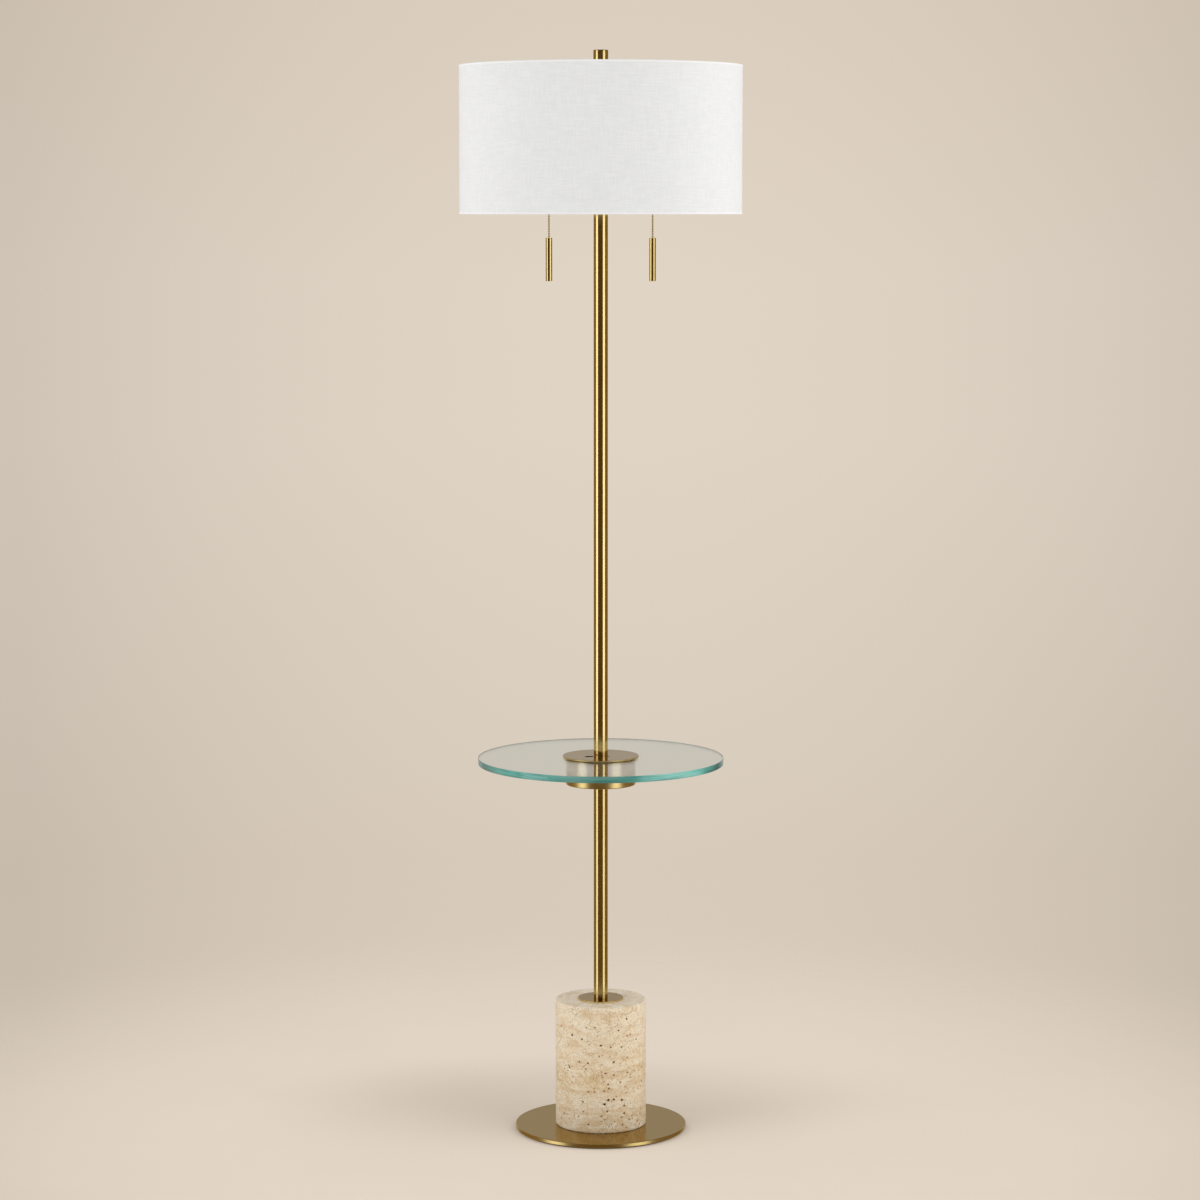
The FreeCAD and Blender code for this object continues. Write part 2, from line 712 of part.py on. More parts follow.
def socket(side, angle):
    """One lamp socket: cap, shell, interior with the switch, contact shell and chain guide."""
    sign = "" if angle == 0 else "-"
    where = {"x": sign + CAP_BACK, "z": SOCKET_AXIS, "turn": outward(angle)}
    dome_radius = "(cap_radius - cap_neck_radius)"
    neck = "(cap_length - cap_skirt - cap_radius + cap_neck_radius)"
    inner_dome = sums("cap_radius", "-socket_wall", "-cap_neck_radius")
    cap = [
        (PIPE_HOLE, "0"),
        ("cap_neck_radius", "0"),
        ("cap_neck_radius", sums("socket_wall", neck)),
        ("cap_radius", "cap_length - cap_skirt + socket_wall", "-" + dome_radius),
        ("cap_radius", "cap_length"),
        ("cap_radius - socket_wall", "cap_length"),
        ("cap_radius - socket_wall", "cap_length - cap_skirt + socket_wall"),
        ("cap_neck_radius", sums("2 * socket_wall", neck), inner_dome),
        (PIPE_HOLE, sums("2 * socket_wall", neck)),
    ]
    turned("socket_cap_" + side, cap, **where)

    inner = sums(SHELL_RADIUS, "-socket_wall")
    lip_outer = sums(SHELL_RADIUS, "shell_lip")
    shell_outline = [
        (inner, SHELL_START),
        (SHELL_RADIUS, SHELL_START),
        (SHELL_RADIUS, sums(SHELL_END, "-2 * shell_lip")),
        (lip_outer, sums(SHELL_END, "-shell_lip")),
        (SHELL_RADIUS, SHELL_END),
        (inner, SHELL_END),
    ]
    shell = turned("socket_shell_" + side, shell_outline, **where)
    hole = new_sketch(shell, "YZ_Plane", "guide_hole")
    draw_circle(hole, "guide_radius + fit_gap", y="guide_setback")
    pocket(shell, hole, "cap_radius", reverse=True)

    core = [
        ("0", INTERIOR_START),
        (INTERIOR_RADIUS, INTERIOR_START),
        (INTERIOR_RADIUS, INTERIOR_END),
        ("0", INTERIOR_END),
    ]
    interior = turned("socket_interior_" + side, core, **where)
    channel = new_sketch(interior, "YZ_Plane", "chain_channel")
    draw_circle(channel, "guide_radius + fit_gap", y="guide_setback")
    pocket(interior, channel, "cap_radius", reverse=True)

    contact = dict(where)
    contact["x"] = sign + sums(CAP_BACK, INTERIOR_END)
    ring("contact_shell_" + side, "contact_shell_radius",
         "contact_shell_radius - contact_shell_wall", "contact_shell_length", **contact)
    chain_guide(side, sign)


def leading_arc(across, along):
    """The radius of an arc that starts straight along and ends that far across and along."""
    return "((%s) ^ 2 + (%s) ^ 2) / (2 * (%s))" % (across, along, across)


def chain_guide(side, sign):
    """The flared bell mouth under a socket that its chain comes out of."""
    wall = "guide_wall"
    mouth = "(guide_flare_radius - guide_wall)"
    lower = "-" + GUIDE_BOTTOM
    inner_arc = leading_arc("guide_flare_radius - guide_wall - guide_bore_radius", "guide_flare_height")
    outer_arc = leading_arc("guide_flare_radius - guide_radius", "guide_flare_height - guide_wall")
    outline = [
        ("guide_bore_radius", "-" + GUIDE_TOP),
        ("guide_bore_radius", "-" + FLARE_TOP),
        (mouth, lower, inner_arc),
        ("guide_flare_radius", sums(lower, wall)),
        ("guide_radius", "-" + FLARE_TOP, "-" + outer_arc),
        ("guide_radius", "-" + GUIDE_NUT_BOTTOM),
        ("guide_nut_radius", "-" + GUIDE_NUT_BOTTOM),
        ("guide_nut_radius", sums("-" + SHELL_RADIUS, "-fit_gap")),
        ("guide_radius", sums("-" + SHELL_RADIUS, "-fit_gap")),
        ("guide_radius", "-" + GUIDE_TOP),
    ]
    turned("chain_guide_" + side, outline, x=sign + CHAIN_SIDE, z=SOCKET_AXIS)


def bulb(side, angle):
    """A lamp bulb in its socket: the metal base and the frosted envelope."""
    sign = "" if angle == 0 else "-"
    base_start = sums(CAP_BACK, INTERIOR_END, "fit_gap")
    base = [
        ("0", "0"),
        ("bulb_tip_radius", "0"),
        ("bulb_base_radius", "bulb_tip_height"),
        ("bulb_base_radius", "bulb_base_length"),
        ("0", "bulb_base_length"),
    ]
    turned("bulb_base_" + side, base, x=sign + base_start, z=SOCKET_AXIS, turn=outward(angle))

    glass_start = sums(base_start, "bulb_base_length")
    touch = "(bulb_radius * cos(bulb_flare))"
    cone = sums("bulb_neck_length", "(" + touch + " - bulb_neck_radius) / tan(bulb_flare)")
    tip = sums(cone, "bulb_radius * sin(bulb_flare)", "bulb_radius")
    inside = "(bulb_radius - bulb_wall)"
    inner_touch = "(" + inside + " * cos(bulb_flare))"
    inner_height = sums(cone, "bulb_wall * sin(bulb_flare)")
    envelope = [
        ("bulb_neck_radius - bulb_wall", "0"),
        ("bulb_neck_radius", "0"),
        ("bulb_neck_radius", "bulb_neck_length"),
        (touch, cone),
        ("0", tip, "bulb_radius"),
        ("0", sums(tip, "-bulb_wall")),
        (inner_touch, inner_height, "-" + inside),
        ("bulb_neck_radius - bulb_wall", "bulb_neck_length"),
    ]
    turned("bulb_glass_" + side, envelope, x=sign + glass_start, z=SOCKET_AXIS, turn=outward(angle))


def pull(side, angle):
    """One pull: the chain's end in the socket, the chain that hangs from it, and the bar."""
    sign = "" if angle == 0 else "-"
    side_text = sign + CHAIN_SIDE
    pivot = sums(SOCKET_AXIS, "-" + CHAIN_PIVOT)
    stub_count = math.ceil(value(sums(CHAIN_PIVOT, "-" + GUIDE_TOP)) / value("bead_pitch"))
    stub_top = sums(pivot, "%d * bead_pitch" % stub_count)
    turned("chain_stub_" + side, bead_outline(stub_count), x=side_text, z=stub_top)
    count = round(value("chain_length") / value("bead_pitch"))
    turned("pull_chain_" + side, bead_outline(count), x=side_text, z=pivot)

    last_bead = sums(pivot, "-%d * bead_pitch" % count, "bead_pitch / 2")
    top = sums(last_bead, "bead_sink")
    slope = "(bar_mouth_radius - bar_seat_radius)"
    outline = [
        ("0", "-bar_length"),
        ("bar_radius - bar_chamfer", "-bar_length"),
        ("bar_radius", "-bar_length + bar_chamfer"),
        ("bar_radius", "-bar_chamfer"),
        ("bar_radius - bar_chamfer", "0"),
        ("bar_mouth_radius", "0"),
        ("bar_seat_radius", "-" + slope),
        ("bar_seat_radius", "-bar_seat_depth"),
        ("0", "-bar_seat_depth"),
    ]
    turned("pull_bar_" + side, outline, x=side_text, z=top)


def base_group():
    ring("felt_pad", "pad_radius", "pad_hole_radius", "pad_thickness")
    base_plate()
    hex_nut("base_nut", BASE_NUT)
    ring("base_washer", "washer_radius", PIPE_HOLE, "washer_thickness",
         z=sums(RECESS_TOP, "-washer_thickness"))
    travertine_block()
    cord_bushing()
    stone_flange()
    pipe_length = sums(DISC_TOP, "pipe_overlap", "-" + BASE_NUT)
    ring("threaded_pipe", "pipe_radius", "pipe_bore_radius", pipe_length, z=BASE_NUT)
    ring("lower_stem", "stem_radius", STEM_BORE, "lower_stem_length", z=FLANGE_TOP)


def shelf_group():
    shelf_cup()
    ring("cup_washer", "washer_radius", PIPE_HOLE, "washer_thickness", z=CUP_INSIDE)
    hex_nut("cup_nut", sums(CUP_INSIDE, "washer_thickness"))
    ring("cup_gasket", "cup_radius", "cup_radius - cup_wall", "gasket_thickness", z=CUP_TOP)
    glass_shelf()
    ring("glass_bushing", "glass_hole_radius - fit_gap", PIPE_HOLE, "glass_thickness",
         z=GLASS_BOTTOM)
    ring("disc_gasket", "disc_radius - disc_gasket_inset", "glass_hole_radius",
         "gasket_thickness", z=GLASS_TOP)
    clamp_disc()
    ring("stem_plug", SPIGOT_RADIUS, PIPE_HOLE, "plug_height", z=DISC_TOP)
    ring("upper_stem", "stem_radius", STEM_BORE, "upper_stem_length", z=DISC_TOP)
    stem_cap()


def head_group():
    nipple_length = "(stem_cap_thickness + 2 * pipe_engagement)"
    ring("cluster_nipple", "pipe_radius", "pipe_bore_radius", nipple_length,
         z=sums(STEM_TOP, "-pipe_engagement"))
    cluster_body()
    rod_start = sums(CLUSTER_TOP, "-pipe_engagement")
    rod_length = sums(FINIAL_BOTTOM, "pipe_engagement", "-" + rod_start)
    rod = doc.addObject("Part::Cylinder", "Rod_riser")
    rod.Label = "riser_rod"
    bind(rod, "Radius", "riser_rod_radius")
    bind(rod, "Height", rod_length)
    place(rod, z=rod_start)
    nodes["riser_rod"] = rod
    rod_hole = "(riser_rod_radius + fit_gap)"
    ring("riser_tube", "riser_radius", rod_hole, "riser_length", z=CLUSTER_TOP)
    ring("shade_seat", "seat_radius", rod_hole, "seat_thickness", z=SEAT_BOTTOM)
    ring("finial_washer", "finial_radius", rod_hole, "finial_washer_thickness", z=HUB_TOP)
    finial()
    spider()
    shade()
    for side, angle in SIDES.items():
        side_arm(side, angle)
        socket(side, angle)
        bulb(side, angle)
        pull(side, angle)


def check():
    """Stops if an object has failed or a sub-part isn't a sound solid."""
    for thing in doc.Objects:
        if "Invalid" in thing.State or "Error" in thing.State:
            raise RuntimeError(thing.Label + " has failed: " + " ".join(thing.State))
    for name, thing in nodes.items():
        shape = thing.Shape
        if shape.isNull() or not shape.isValid() or len(shape.Solids) != 1:
            raise RuntimeError(name + " isn't one sound solid")


base_group()
shelf_group()
head_group()
doc.recompute()
check()
os.makedirs("parts", exist_ok=True)
for name, thing in nodes.items():
    thing.Shape.exportStep("parts/%s.step" % name)
print("%d sub-parts" % len(nodes))
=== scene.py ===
import json
import random
from math import asin, atan2, cos, degrees, hypot, pi, radians, sin, sqrt, tan

import bmesh
import bpy
from mathutils import Matrix, Vector, noise

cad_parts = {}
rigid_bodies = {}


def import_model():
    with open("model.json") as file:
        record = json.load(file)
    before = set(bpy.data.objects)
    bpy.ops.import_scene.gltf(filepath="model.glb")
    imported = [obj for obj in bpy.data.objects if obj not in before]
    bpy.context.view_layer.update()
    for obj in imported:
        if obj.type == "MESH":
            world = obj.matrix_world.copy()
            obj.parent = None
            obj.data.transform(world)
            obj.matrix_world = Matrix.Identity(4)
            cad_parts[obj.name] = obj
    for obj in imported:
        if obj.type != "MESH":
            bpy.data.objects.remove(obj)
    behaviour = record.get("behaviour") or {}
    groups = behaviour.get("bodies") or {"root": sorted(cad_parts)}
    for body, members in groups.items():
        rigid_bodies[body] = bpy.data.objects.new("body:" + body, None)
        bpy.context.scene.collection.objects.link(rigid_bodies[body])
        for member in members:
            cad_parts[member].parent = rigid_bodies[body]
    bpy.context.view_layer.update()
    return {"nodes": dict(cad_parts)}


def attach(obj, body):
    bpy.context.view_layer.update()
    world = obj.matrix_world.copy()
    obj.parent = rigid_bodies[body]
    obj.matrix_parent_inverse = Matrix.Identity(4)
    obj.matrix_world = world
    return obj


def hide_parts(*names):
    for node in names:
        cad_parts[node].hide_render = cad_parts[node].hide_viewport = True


# Shelf floor lamp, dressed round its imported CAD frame. Lengths in the tables below are
# in millimetres, measured from the floor under the middle of the stem; the meshes and
# the shaders work in metres. The photograph looks along +Y, from just above the height
# of the shade's lower edge.

MM = 0.001
SIDES = (("left", -1), ("right", 1))
ON_AXIS = Matrix.Identity(4)

# Levels, radii and rounded edges of the CAD model's pieces. The facets of a piece are the
# flat sides that stand for its round.
PLATE = dict(radius=133.35, low=2.0, high=8.0, top_edge=1.1, foot_edge=0.9, recess=15.0,
             recess_depth=4.2, recess_edge=0.2, facets=320)
STONE = dict(radius=70.7, low=8.0, high=206.0, edge=2.4, foot_edge=0.7, bore=6.2, facets=184)
FLANGE = dict(radius=35.2, low=206.0, high=208.2, edge=0.3, facets=192)
STEM = dict(radius=11.1, bore=9.9, top=1484.2, edge=0.15, facets=128)
CUP = dict(radius=54.3, low=546.2, high=578.2, wall=2.0, floor=3.0, edge=0.3, foot_edge=1.3,
           corner=0.8, facets=224)
GLASS = dict(radius=190.5, low=578.7, high=588.7, bore=8.0, bevel=0.5, facets=320)
DISC = dict(radius=58.9, low=589.2, high=591.2, top_edge=0.35, foot_edge=0.25, facets=224,
            bore_facets=48)
SLOT = dict(side=-18.0, front=-14.0, length=4.0, radius=5.0, end_facets=20)
PIN_HOLE = dict(side=11.6, front=-14.0, radius=2.2, facets=32)
PIPE_HOLE = 4.9
SPIGOT = dict(radius=9.85, length=4.0, edge=0.3)
FINIAL = dict(radius=11.45, low=1643.8, high=1674.8, bore=3.25, depth=13.0, top_edge=0.7,
              foot_edge=0.4, facets=128)
SHADE = dict(radius=216.0, low=1426.7, high=1651.5, facets=288)
BAR = dict(radius=5.05, low=1324.975, high=1390.975, side=79.2, edge=0.6, mouth=3.4, mouth_edge=0.2,
           mouth_depth=1.45, bore=1.95, depth=3.6, facets=80)
CHAIN = dict(pivot=1477.8, pitch=3.75, beads=24, radius=1.55, link=0.5, bead_steps=8, facets=20)

for left_over in list(bpy.data.objects):
    bpy.data.objects.remove(left_over)
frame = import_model()


# Node graphs

# The Mix node's sockets for colours, and the range that holds nearly all of a noise
MIX_FIRST, MIX_SECOND, MIX_RESULT = 6, 7, 2
USUAL = (0.3, 0.7)


def node(tree, kind, inputs=None, **props):
    """A shader node with its properties set and its inputs linked or given a value."""
    made = tree.nodes.new("ShaderNode" + kind)
    for name, setting in props.items():
        setattr(made, name, setting)
    for key, source in (inputs or {}).items():
        if isinstance(source, bpy.types.NodeSocket):
            tree.links.new(source, made.inputs[key])
        else:
            made.inputs[key].default_value = source
    return made


def calc(tree, operation, *terms):
    return node(tree, "Math", dict(enumerate(terms)), operation=operation).outputs[0]


def times(tree, first, second):
    return calc(tree, "MULTIPLY", first, second)


def vector_calc(tree, operation, *terms):
    made = node(tree, "VectorMath", dict(enumerate(terms)), operation=operation).outputs
    return made["Value" if operation == "LENGTH" else "Vector"]


def parts_of(tree, vector):
    """A vector's X, Y and Z."""
    return node(tree, "SeparateXYZ", {"Vector": vector}).outputs


def remap(tree, source, low, high, to_low=0.0, to_high=1.0, smooth=False):
    kind = "SMOOTHSTEP" if smooth else "LINEAR"
    inputs = {"Value": source, "From Min": low, "From Max": high, "To Min": to_low, "To Max": to_high}
    return node(tree, "MapRange", inputs, interpolation_type=kind).outputs["Result"]


def ramp(tree, factor, stops):
    """A colour ramp from (position, colour) stops; a colour may be one grey level."""
    made = node(tree, "ValToRGB", {"Fac": factor})
    points = made.color_ramp.elements
    while len(points) < len(stops):
        points.new(0.5)
    for point, (position, colour) in zip(points, stops):
        point.position = position
        point.color = (*colour, 1.0) if isinstance(colour, tuple) else (colour, colour, colour, 1.0)
    return made.outputs["Color"]


def blend(tree, factor, first, second, mode="MIX"):
    """Two colours blended, each a socket or its red, green and blue."""
    ends = [end if isinstance(end, bpy.types.NodeSocket) else (*end, 1.0) for end in (first, second)]
    inputs = {"Factor": factor, MIX_FIRST: ends[0], MIX_SECOND: ends[1]}
    return node(tree, "Mix", inputs, data_type="RGBA", blend_type=mode).outputs[MIX_RESULT]


def multiplied(tree, first, second):
    return blend(tree, 1.0, first, second, "MULTIPLY")


def dimmed(tree, colour, level):
    """A colour multiplied by a grey level."""
    grey = node(tree, "CombineColor", {"Red": level, "Green": level, "Blue": level}).outputs["Color"]
    return multiplied(tree, colour, grey)


def mottled(tree, level, colour, *layers, smooth=False):
    """A colour under layers of others, each (start level, full level, strength, colour)."""
    for start, full, strength, tint in layers:
        share = remap(tree, level, start, full, 0.0, strength, smooth)
        colour = blend(tree, share, colour, tint)
    return colour


def stretched(tree, vector, scale):
    return node(tree, "Mapping", {"Vector": vector, "Scale": scale}).outputs["Vector"]


def speckle(tree, vector, scale, detail=2.0, roughness=0.5, distortion=0.0):
    """Noise from 0 to 1. The scale is one number, or one for each axis."""
    if isinstance(scale, tuple):
        vector, scale = stretched(tree, vector, scale), 1.0
    inputs = {"Vector": vector, "Scale": scale, "Detail": detail, "Roughness": roughness,
              "Distortion": distortion}
    return node(tree, "TexNoise", inputs).outputs["Fac"]


def cell_distance(tree, vector, scale, feature):
    inputs = {"Vector": vector, "Scale": scale, "Randomness": 1.0}
    return node(tree, "TexVoronoi", inputs, feature=feature).outputs["Distance"]


def bump(tree, height, distance, strength):
    inputs = {"Height": height, "Distance": distance, "Strength": strength}
    return node(tree, "Bump", inputs).outputs["Normal"]


def object_place(tree):
    return node(tree, "TexCoord").outputs["Object"]


def upward(tree):
    """How far a face looks up in its piece's own frame, from -1 to 1."""
    normal = node(tree, "NewGeometry").outputs["Normal"]
    own = node(tree, "VectorTransform", {"Vector": normal}, vector_type="NORMAL",
               convert_from="WORLD", convert_to="OBJECT").outputs["Vector"]
    return parts_of(tree, own)["Z"]


def round_place(tree, spread):
    """A turned piece's arc length at the radius spread, height and radius: a vector, and by name."""
    parts = parts_of(tree, object_place(tree))
    angle = calc(tree, "ARCTAN2", parts["Y"], parts["X"])
    flat = node(tree, "CombineXYZ", {"X": parts["X"], "Y": parts["Y"]}).outputs["Vector"]
    spot = {"across": times(tree, angle, spread), "height": parts["Z"],
            "radius": vector_calc(tree, "LENGTH", flat)}
    return node(tree, "CombineXYZ", dict(zip("XYZ", spot.values()))).outputs["Vector"], spot


def new_material(name, **inputs):
    """A material with a Principled shader whose constants are set on its own sockets."""
    material = bpy.data.materials.new(name)
    material.use_nodes = True
    tree = material.node_tree
    shader = tree.nodes["Principled BSDF"]
    for key, setting in inputs.items():
        shader.inputs[key.replace("_", " ")].default_value = setting
    return material, tree, shader


def feed(tree, shader, **sources):
    for key, source in sources.items():
        tree.links.new(source, shader.inputs[key.replace("_", " ")])


# Brass

WHITE = (1.0, 1.0, 1.0)
GOLD = (0.92, 0.75, 0.345)
AGED = (0.87, 0.69, 0.295)
BEAD_GOLD = (0.76, 0.6, 0.28)
BEAD_AGED = (0.68, 0.52, 0.24)
# Painted reflections: the upper faces of the base plate, flange and clamp disc are the same brass as their
# rims, painted these darker colours for what they mirror
OLIVE_PAINTED_REFLECTION = (0.47, 0.335, 0.14)
BRONZE_PAINTED_REFLECTION = (0.43, 0.292, 0.108)
# Painted shade: the near black of the walls of the clamp disc's slot and holes
PAINTED_HOLE_SHADE = (0.03, 0.02, 0.01)
# Painted light: the pale tint of the cup's wall under the glass, a painted veil of reflected light
PAINTED_VEIL_TINT = (0.97, 0.85, 0.63)

# Scales of the brush marks along the arc at the radius BRUSHED, up and outward
BRUSHED = 0.02
PLAIN_GRAIN = (500.0, 500.0, 500.0)
LONG_GRAIN = (900.0, 12.0, 60.0)
RING_GRAIN = (12.0, 900.0, 60.0)
FINE_RING_GRAIN = (10.0, 1500.0, 1500.0)
FACE_GRAIN = (14.0, 900.0, 1300.0)
BRASS_RELIEF = 0.000003


def brass(name, grain, rough, tones=(GOLD, AGED), top=None, glance=WHITE, rim=0.3, hole_shade_reach=0.0,
          painted_veil_band=None, **inputs):
    """Satin brass in soft patches of two tones, with brush marks of the given grain.

    A plate's upper face has the colour top, a painted reflection: it is the same brass as
    the rim, painted darker for what it mirrors. Its rim is at least as rough as rim.
    Light mirrored at a low angle takes the colour glance. Faces that don't look up and lie
    nearer to the axis than the reach given for holes are painted near black: painted shade
    in the slot and holes. Between the two heights given for the veil it turns pale, smoother
    and less metallic: a painted veil of light on the wall under the glass.
    """
    material, tree, shader = new_material(name, Metallic=1.0, Specular_Tint=(*glance, 1.0), **inputs)
    place, spot = round_place(tree, BRUSHED)
    brushed = speckle(tree, place, grain)
    cloudy = speckle(tree, object_place(tree), 24.0, 1.0)
    stain = speckle(tree, object_place(tree), 7.0, 1.0)
    tone = blend(tree, remap(tree, stain, 0.35, 0.7), *tones)
    worn = calc(tree, "MULTIPLY_ADD", brushed, 0.5, times(tree, cloudy, 0.5))
    roughness = remap(tree, worn, *USUAL, *rough)
    # Painted reflection: faces that look up take the colour top
    if top:
        facing_up = upward(tree)
        level = remap(tree, facing_up, 0.75, 0.97, smooth=True)
        tone = blend(tree, level, tone, top)
        roughness = calc(tree, "MAXIMUM", roughness, remap(tree, level, 0.0, 1.0, rim, 0.0))
        # Painted shade: walls of holes near the axis are painted near black
        if hole_shade_reach:
            cut = times(tree, calc(tree, "LESS_THAN", spot["radius"], hole_shade_reach),
                        calc(tree, "LESS_THAN", facing_up, 0.5))
            tone = blend(tree, cut, tone, PAINTED_HOLE_SHADE)
    colour = dimmed(tree, tone, remap(tree, brushed, *USUAL, 0.975, 1.01))
    # Painted light: the wall turns pale, smoother and less metallic in a band under the glass
    if painted_veil_band:
        veil_painted_share = remap(tree, spot["height"], *painted_veil_band, smooth=True)
        colour = blend(tree, veil_painted_share, colour, PAINTED_VEIL_TINT)
        roughness = calc(tree, "SUBTRACT", roughness, remap(tree, veil_painted_share, 0.0, 1.0, 0.0, 0.07))
        feed(tree, shader, Metallic=remap(tree, veil_painted_share, 0.0, 1.0, 1.0, 0.74))
    relief = bump(tree, brushed, BRASS_RELIEF, 0.3)
    feed(tree, shader, Base_Color=colour, Roughness=roughness, Normal=relief)
    return material


# Travertine

# The tones for pores and pits are partly painted shade in the stone's hollows
TONES = {
    "cream": (0.94, 0.825, 0.655), "honey": (0.89, 0.745, 0.54), "sand": (0.825, 0.655, 0.425),
    "tan": (0.76, 0.565, 0.33), "brown": (0.68, 0.485, 0.28), "pale drift": (0.95, 0.845, 0.67),
    "dark drift": (0.74, 0.54, 0.32), "pale cloud": (0.95, 0.85, 0.68), "seam": (0.55, 0.38, 0.21),
    "vein": (0.50, 0.34, 0.185), "grit": (0.58, 0.41, 0.24), "flour": (0.96, 0.88, 0.75),
    "pore": (0.36, 0.22, 0.11), "pit stain and shade": (0.42, 0.21, 0.075), "pit": (0.085, 0.035, 0.008),
    "cast": (1.0, 1.0, 0.985),
}
# How much darker the stone is by its height, darker towards its foot and paler towards its top in uneven
# steps, where less than 0 is paler in the ramp
DARKER_BY_HEIGHT = ((0, 0.12), (30, 0.1), (52, -0.06), (76, 0.07), (98, 0.04), (122, -0.04), (144, -0.24),
              (166, -0.08), (188, -0.2), (206, -0.24))


def stone_beds(tree, bent):
    """Wavy beds from cream to brown, darker towards the foot and paler towards the top."""
    beds = speckle(tree, bent, (5.0, 5.0, 24.0), 4.0, 0.6)
    height = remap(tree, parts_of(tree, bent)["Z"], 0.0, STONE["high"] * MM)
    shift = ramp(tree, height, [(z / STONE["high"], 0.5 + darker) for z, darker in DARKER_BY_HEIGHT])
    shifted = calc(tree, "ADD", beds, calc(tree, "SUBTRACT", shift, 0.5))
    names = ((0.30, "cream"), (0.46, "honey"), (0.58, "sand"), (0.72, "tan"), (0.86, "brown"))
    return ramp(tree, shifted, [(position, TONES[name]) for position, name in names])


def stone_lines(tree, place, shift, bent, rougher, colour):
    """The colour with curdled seams and broken veins, which keep to different patches."""
    patchy = speckle(tree, place, 42.0)
    swirled = vector_calc(tree, "MULTIPLY_ADD", shift, (0.05, 0.05, 0.05), bent)
    curd = cell_distance(tree, swirled, 165.0, "DISTANCE_TO_EDGE")
    seam = times(tree, remap(tree, curd, 0.02, 0.11, 0.6, 0.0), remap(tree, patchy, 0.44, 0.6))
    curdled = blend(tree, times(tree, seam, rougher), colour, TONES["seam"])
    thread = speckle(tree, stretched(tree, bent, (1.0, 1.0, 2.8)), 110.0, 4.0, 0.6, 1.2)
    ridge = calc(tree, "ABSOLUTE", calc(tree, "SUBTRACT", thread, 0.5))
    vein = times(tree, remap(tree, ridge, 0.0, 0.035, 0.75, 0.0), remap(tree, patchy, 0.56, 0.42))
    return blend(tree, vein, curdled, TONES["vein"])


def travertine():
    """Honed travertine: wavy beds of cream and tan, curdled, with brown-lined pores whose dark insides are
    painted shade.
    """
    material, tree, shader = new_material("travertine_honed", IOR=1.5, Specular_IOR_Level=0.4,
                                          Specular_Tint=(1.0, 0.88, 0.7, 1.0))
    place = object_place(tree)
    warp = node(tree, "TexNoise", {"Vector": place, "Scale": 14.0, "Detail": 3.0}).outputs["Color"]
    shift = vector_calc(tree, "SUBTRACT", warp, (0.5, 0.5, 0.5))
    bent = vector_calc(tree, "MULTIPLY_ADD", shift, (0.026, 0.026, 0.026), place)
    drifts = speckle(tree, stretched(tree, bent, (1.0, 1.0, 3.2)), 27.0, 4.0, 0.6, 0.9)
    colour = mottled(tree, drifts, stone_beds(tree, bent), (0.51, 0.60, 0.75, TONES["pale drift"]),
                     (0.48, 0.38, 0.6, TONES["dark drift"]), smooth=True)
    clouds = speckle(tree, stretched(tree, bent, (1.0, 1.0, 1.8)), 62.0, 6.0, 0.68, 0.6)
    colour = mottled(tree, clouds, colour, (0.51, 0.60, 0.6, TONES["pale cloud"]),
                     (0.47, 0.36, 0.5, TONES["tan"]))
    rougher = remap(tree, upward(tree), 0.6, 0.95, 1.0, 0.25)
    colour = stone_lines(tree, place, shift, bent, rougher, colour)
    sparkle = calc(tree, "SUBTRACT", speckle(tree, place, 430.0, 3.0, 0.7), 0.5)
    grit = calc(tree, "MULTIPLY_ADD", sparkle, rougher, 0.5)
    colour = mottled(tree, grit, colour, (0.52, 0.68, 0.34, TONES["grit"]),
                     (0.46, 0.34, 0.32, TONES["flour"]))
    # Painted shade: the sunk pits are painted near black in their middle, over a brown rim that is partly
    # their own stain; the small pores are painted brown, partly their own colour and partly the shade in
    # them
    cells = cell_distance(tree, stretched(tree, bent, (1.0, 1.0, 1.4)), 250.0, "F1")
    clusters = remap(tree, speckle(tree, bent, 48.0, 3.0, 0.6), 0.47, 0.56)
    small = times(tree, remap(tree, cells, 0.30, 0.16), clusters)
    colour = blend(tree, times(tree, small, 0.85), colour, TONES["pore"])
    pit = node(tree, "Attribute", attribute_name="pit", attribute_type="GEOMETRY").outputs["Fac"]
    colour = mottled(tree, pit, colour, (0.05, 0.5, 0.92, TONES["pit stain and shade"]),
                     (0.66, 0.96, 1.0, TONES["pit"]))
    hollow = calc(tree, "MULTIPLY_ADD", small, -1.0, times(tree, clouds, 0.2))
    feed(tree, shader, Base_Color=multiplied(tree, colour, TONES["cast"]),
         Roughness=remap(tree, clouds, 0.35, 0.65, 0.38, 0.52), Normal=bump(tree, hollow, 0.0004, 0.6))
    return material


# Glass, cloth and the plain finishes

SEA_GREEN = (0.24, 0.82, 0.71)
SEA_PALE = (0.55, 1.0, 0.92)
SEA_DEEP = tuple(0.66 * c for c in SEA_GREEN)
DEPTH_GREEN = (0.10, 0.72, 0.70)
GLASS_SPAN = 0.19
# Grey levels of the glass edge, from its lower to its upper line and from its left end to
# its right one: painted light and shade, bands of painted reflection up the edge and
# painted shade towards its two ends
EDGE_PAINTED_BANDS = ((0.0, 0.66), (0.28, 0.84), (0.42, 0.72), (0.56, 1.0), (0.68, 0.80), (0.88, 0.92), (1.0, 1.0))
EDGE_PAINTED_ENDS = ((0.0, 0.34), (0.04, 0.42), (0.1, 0.72), (0.22, 0.8), (0.36, 0.62), (0.5, 0.47),
               (0.6, 0.56), (0.68, 0.86), (0.88, 1.0), (0.93, 0.66), (0.97, 0.36), (1.0, 0.4))
LINEN = (0.875, 0.877, 0.87)
# The whiter colour of the edge bands is a painted highlight of light caught on the rolled edges
TRIM_WHITE_PAINTED_HIGHLIGHT = (0.93, 0.93, 0.925)


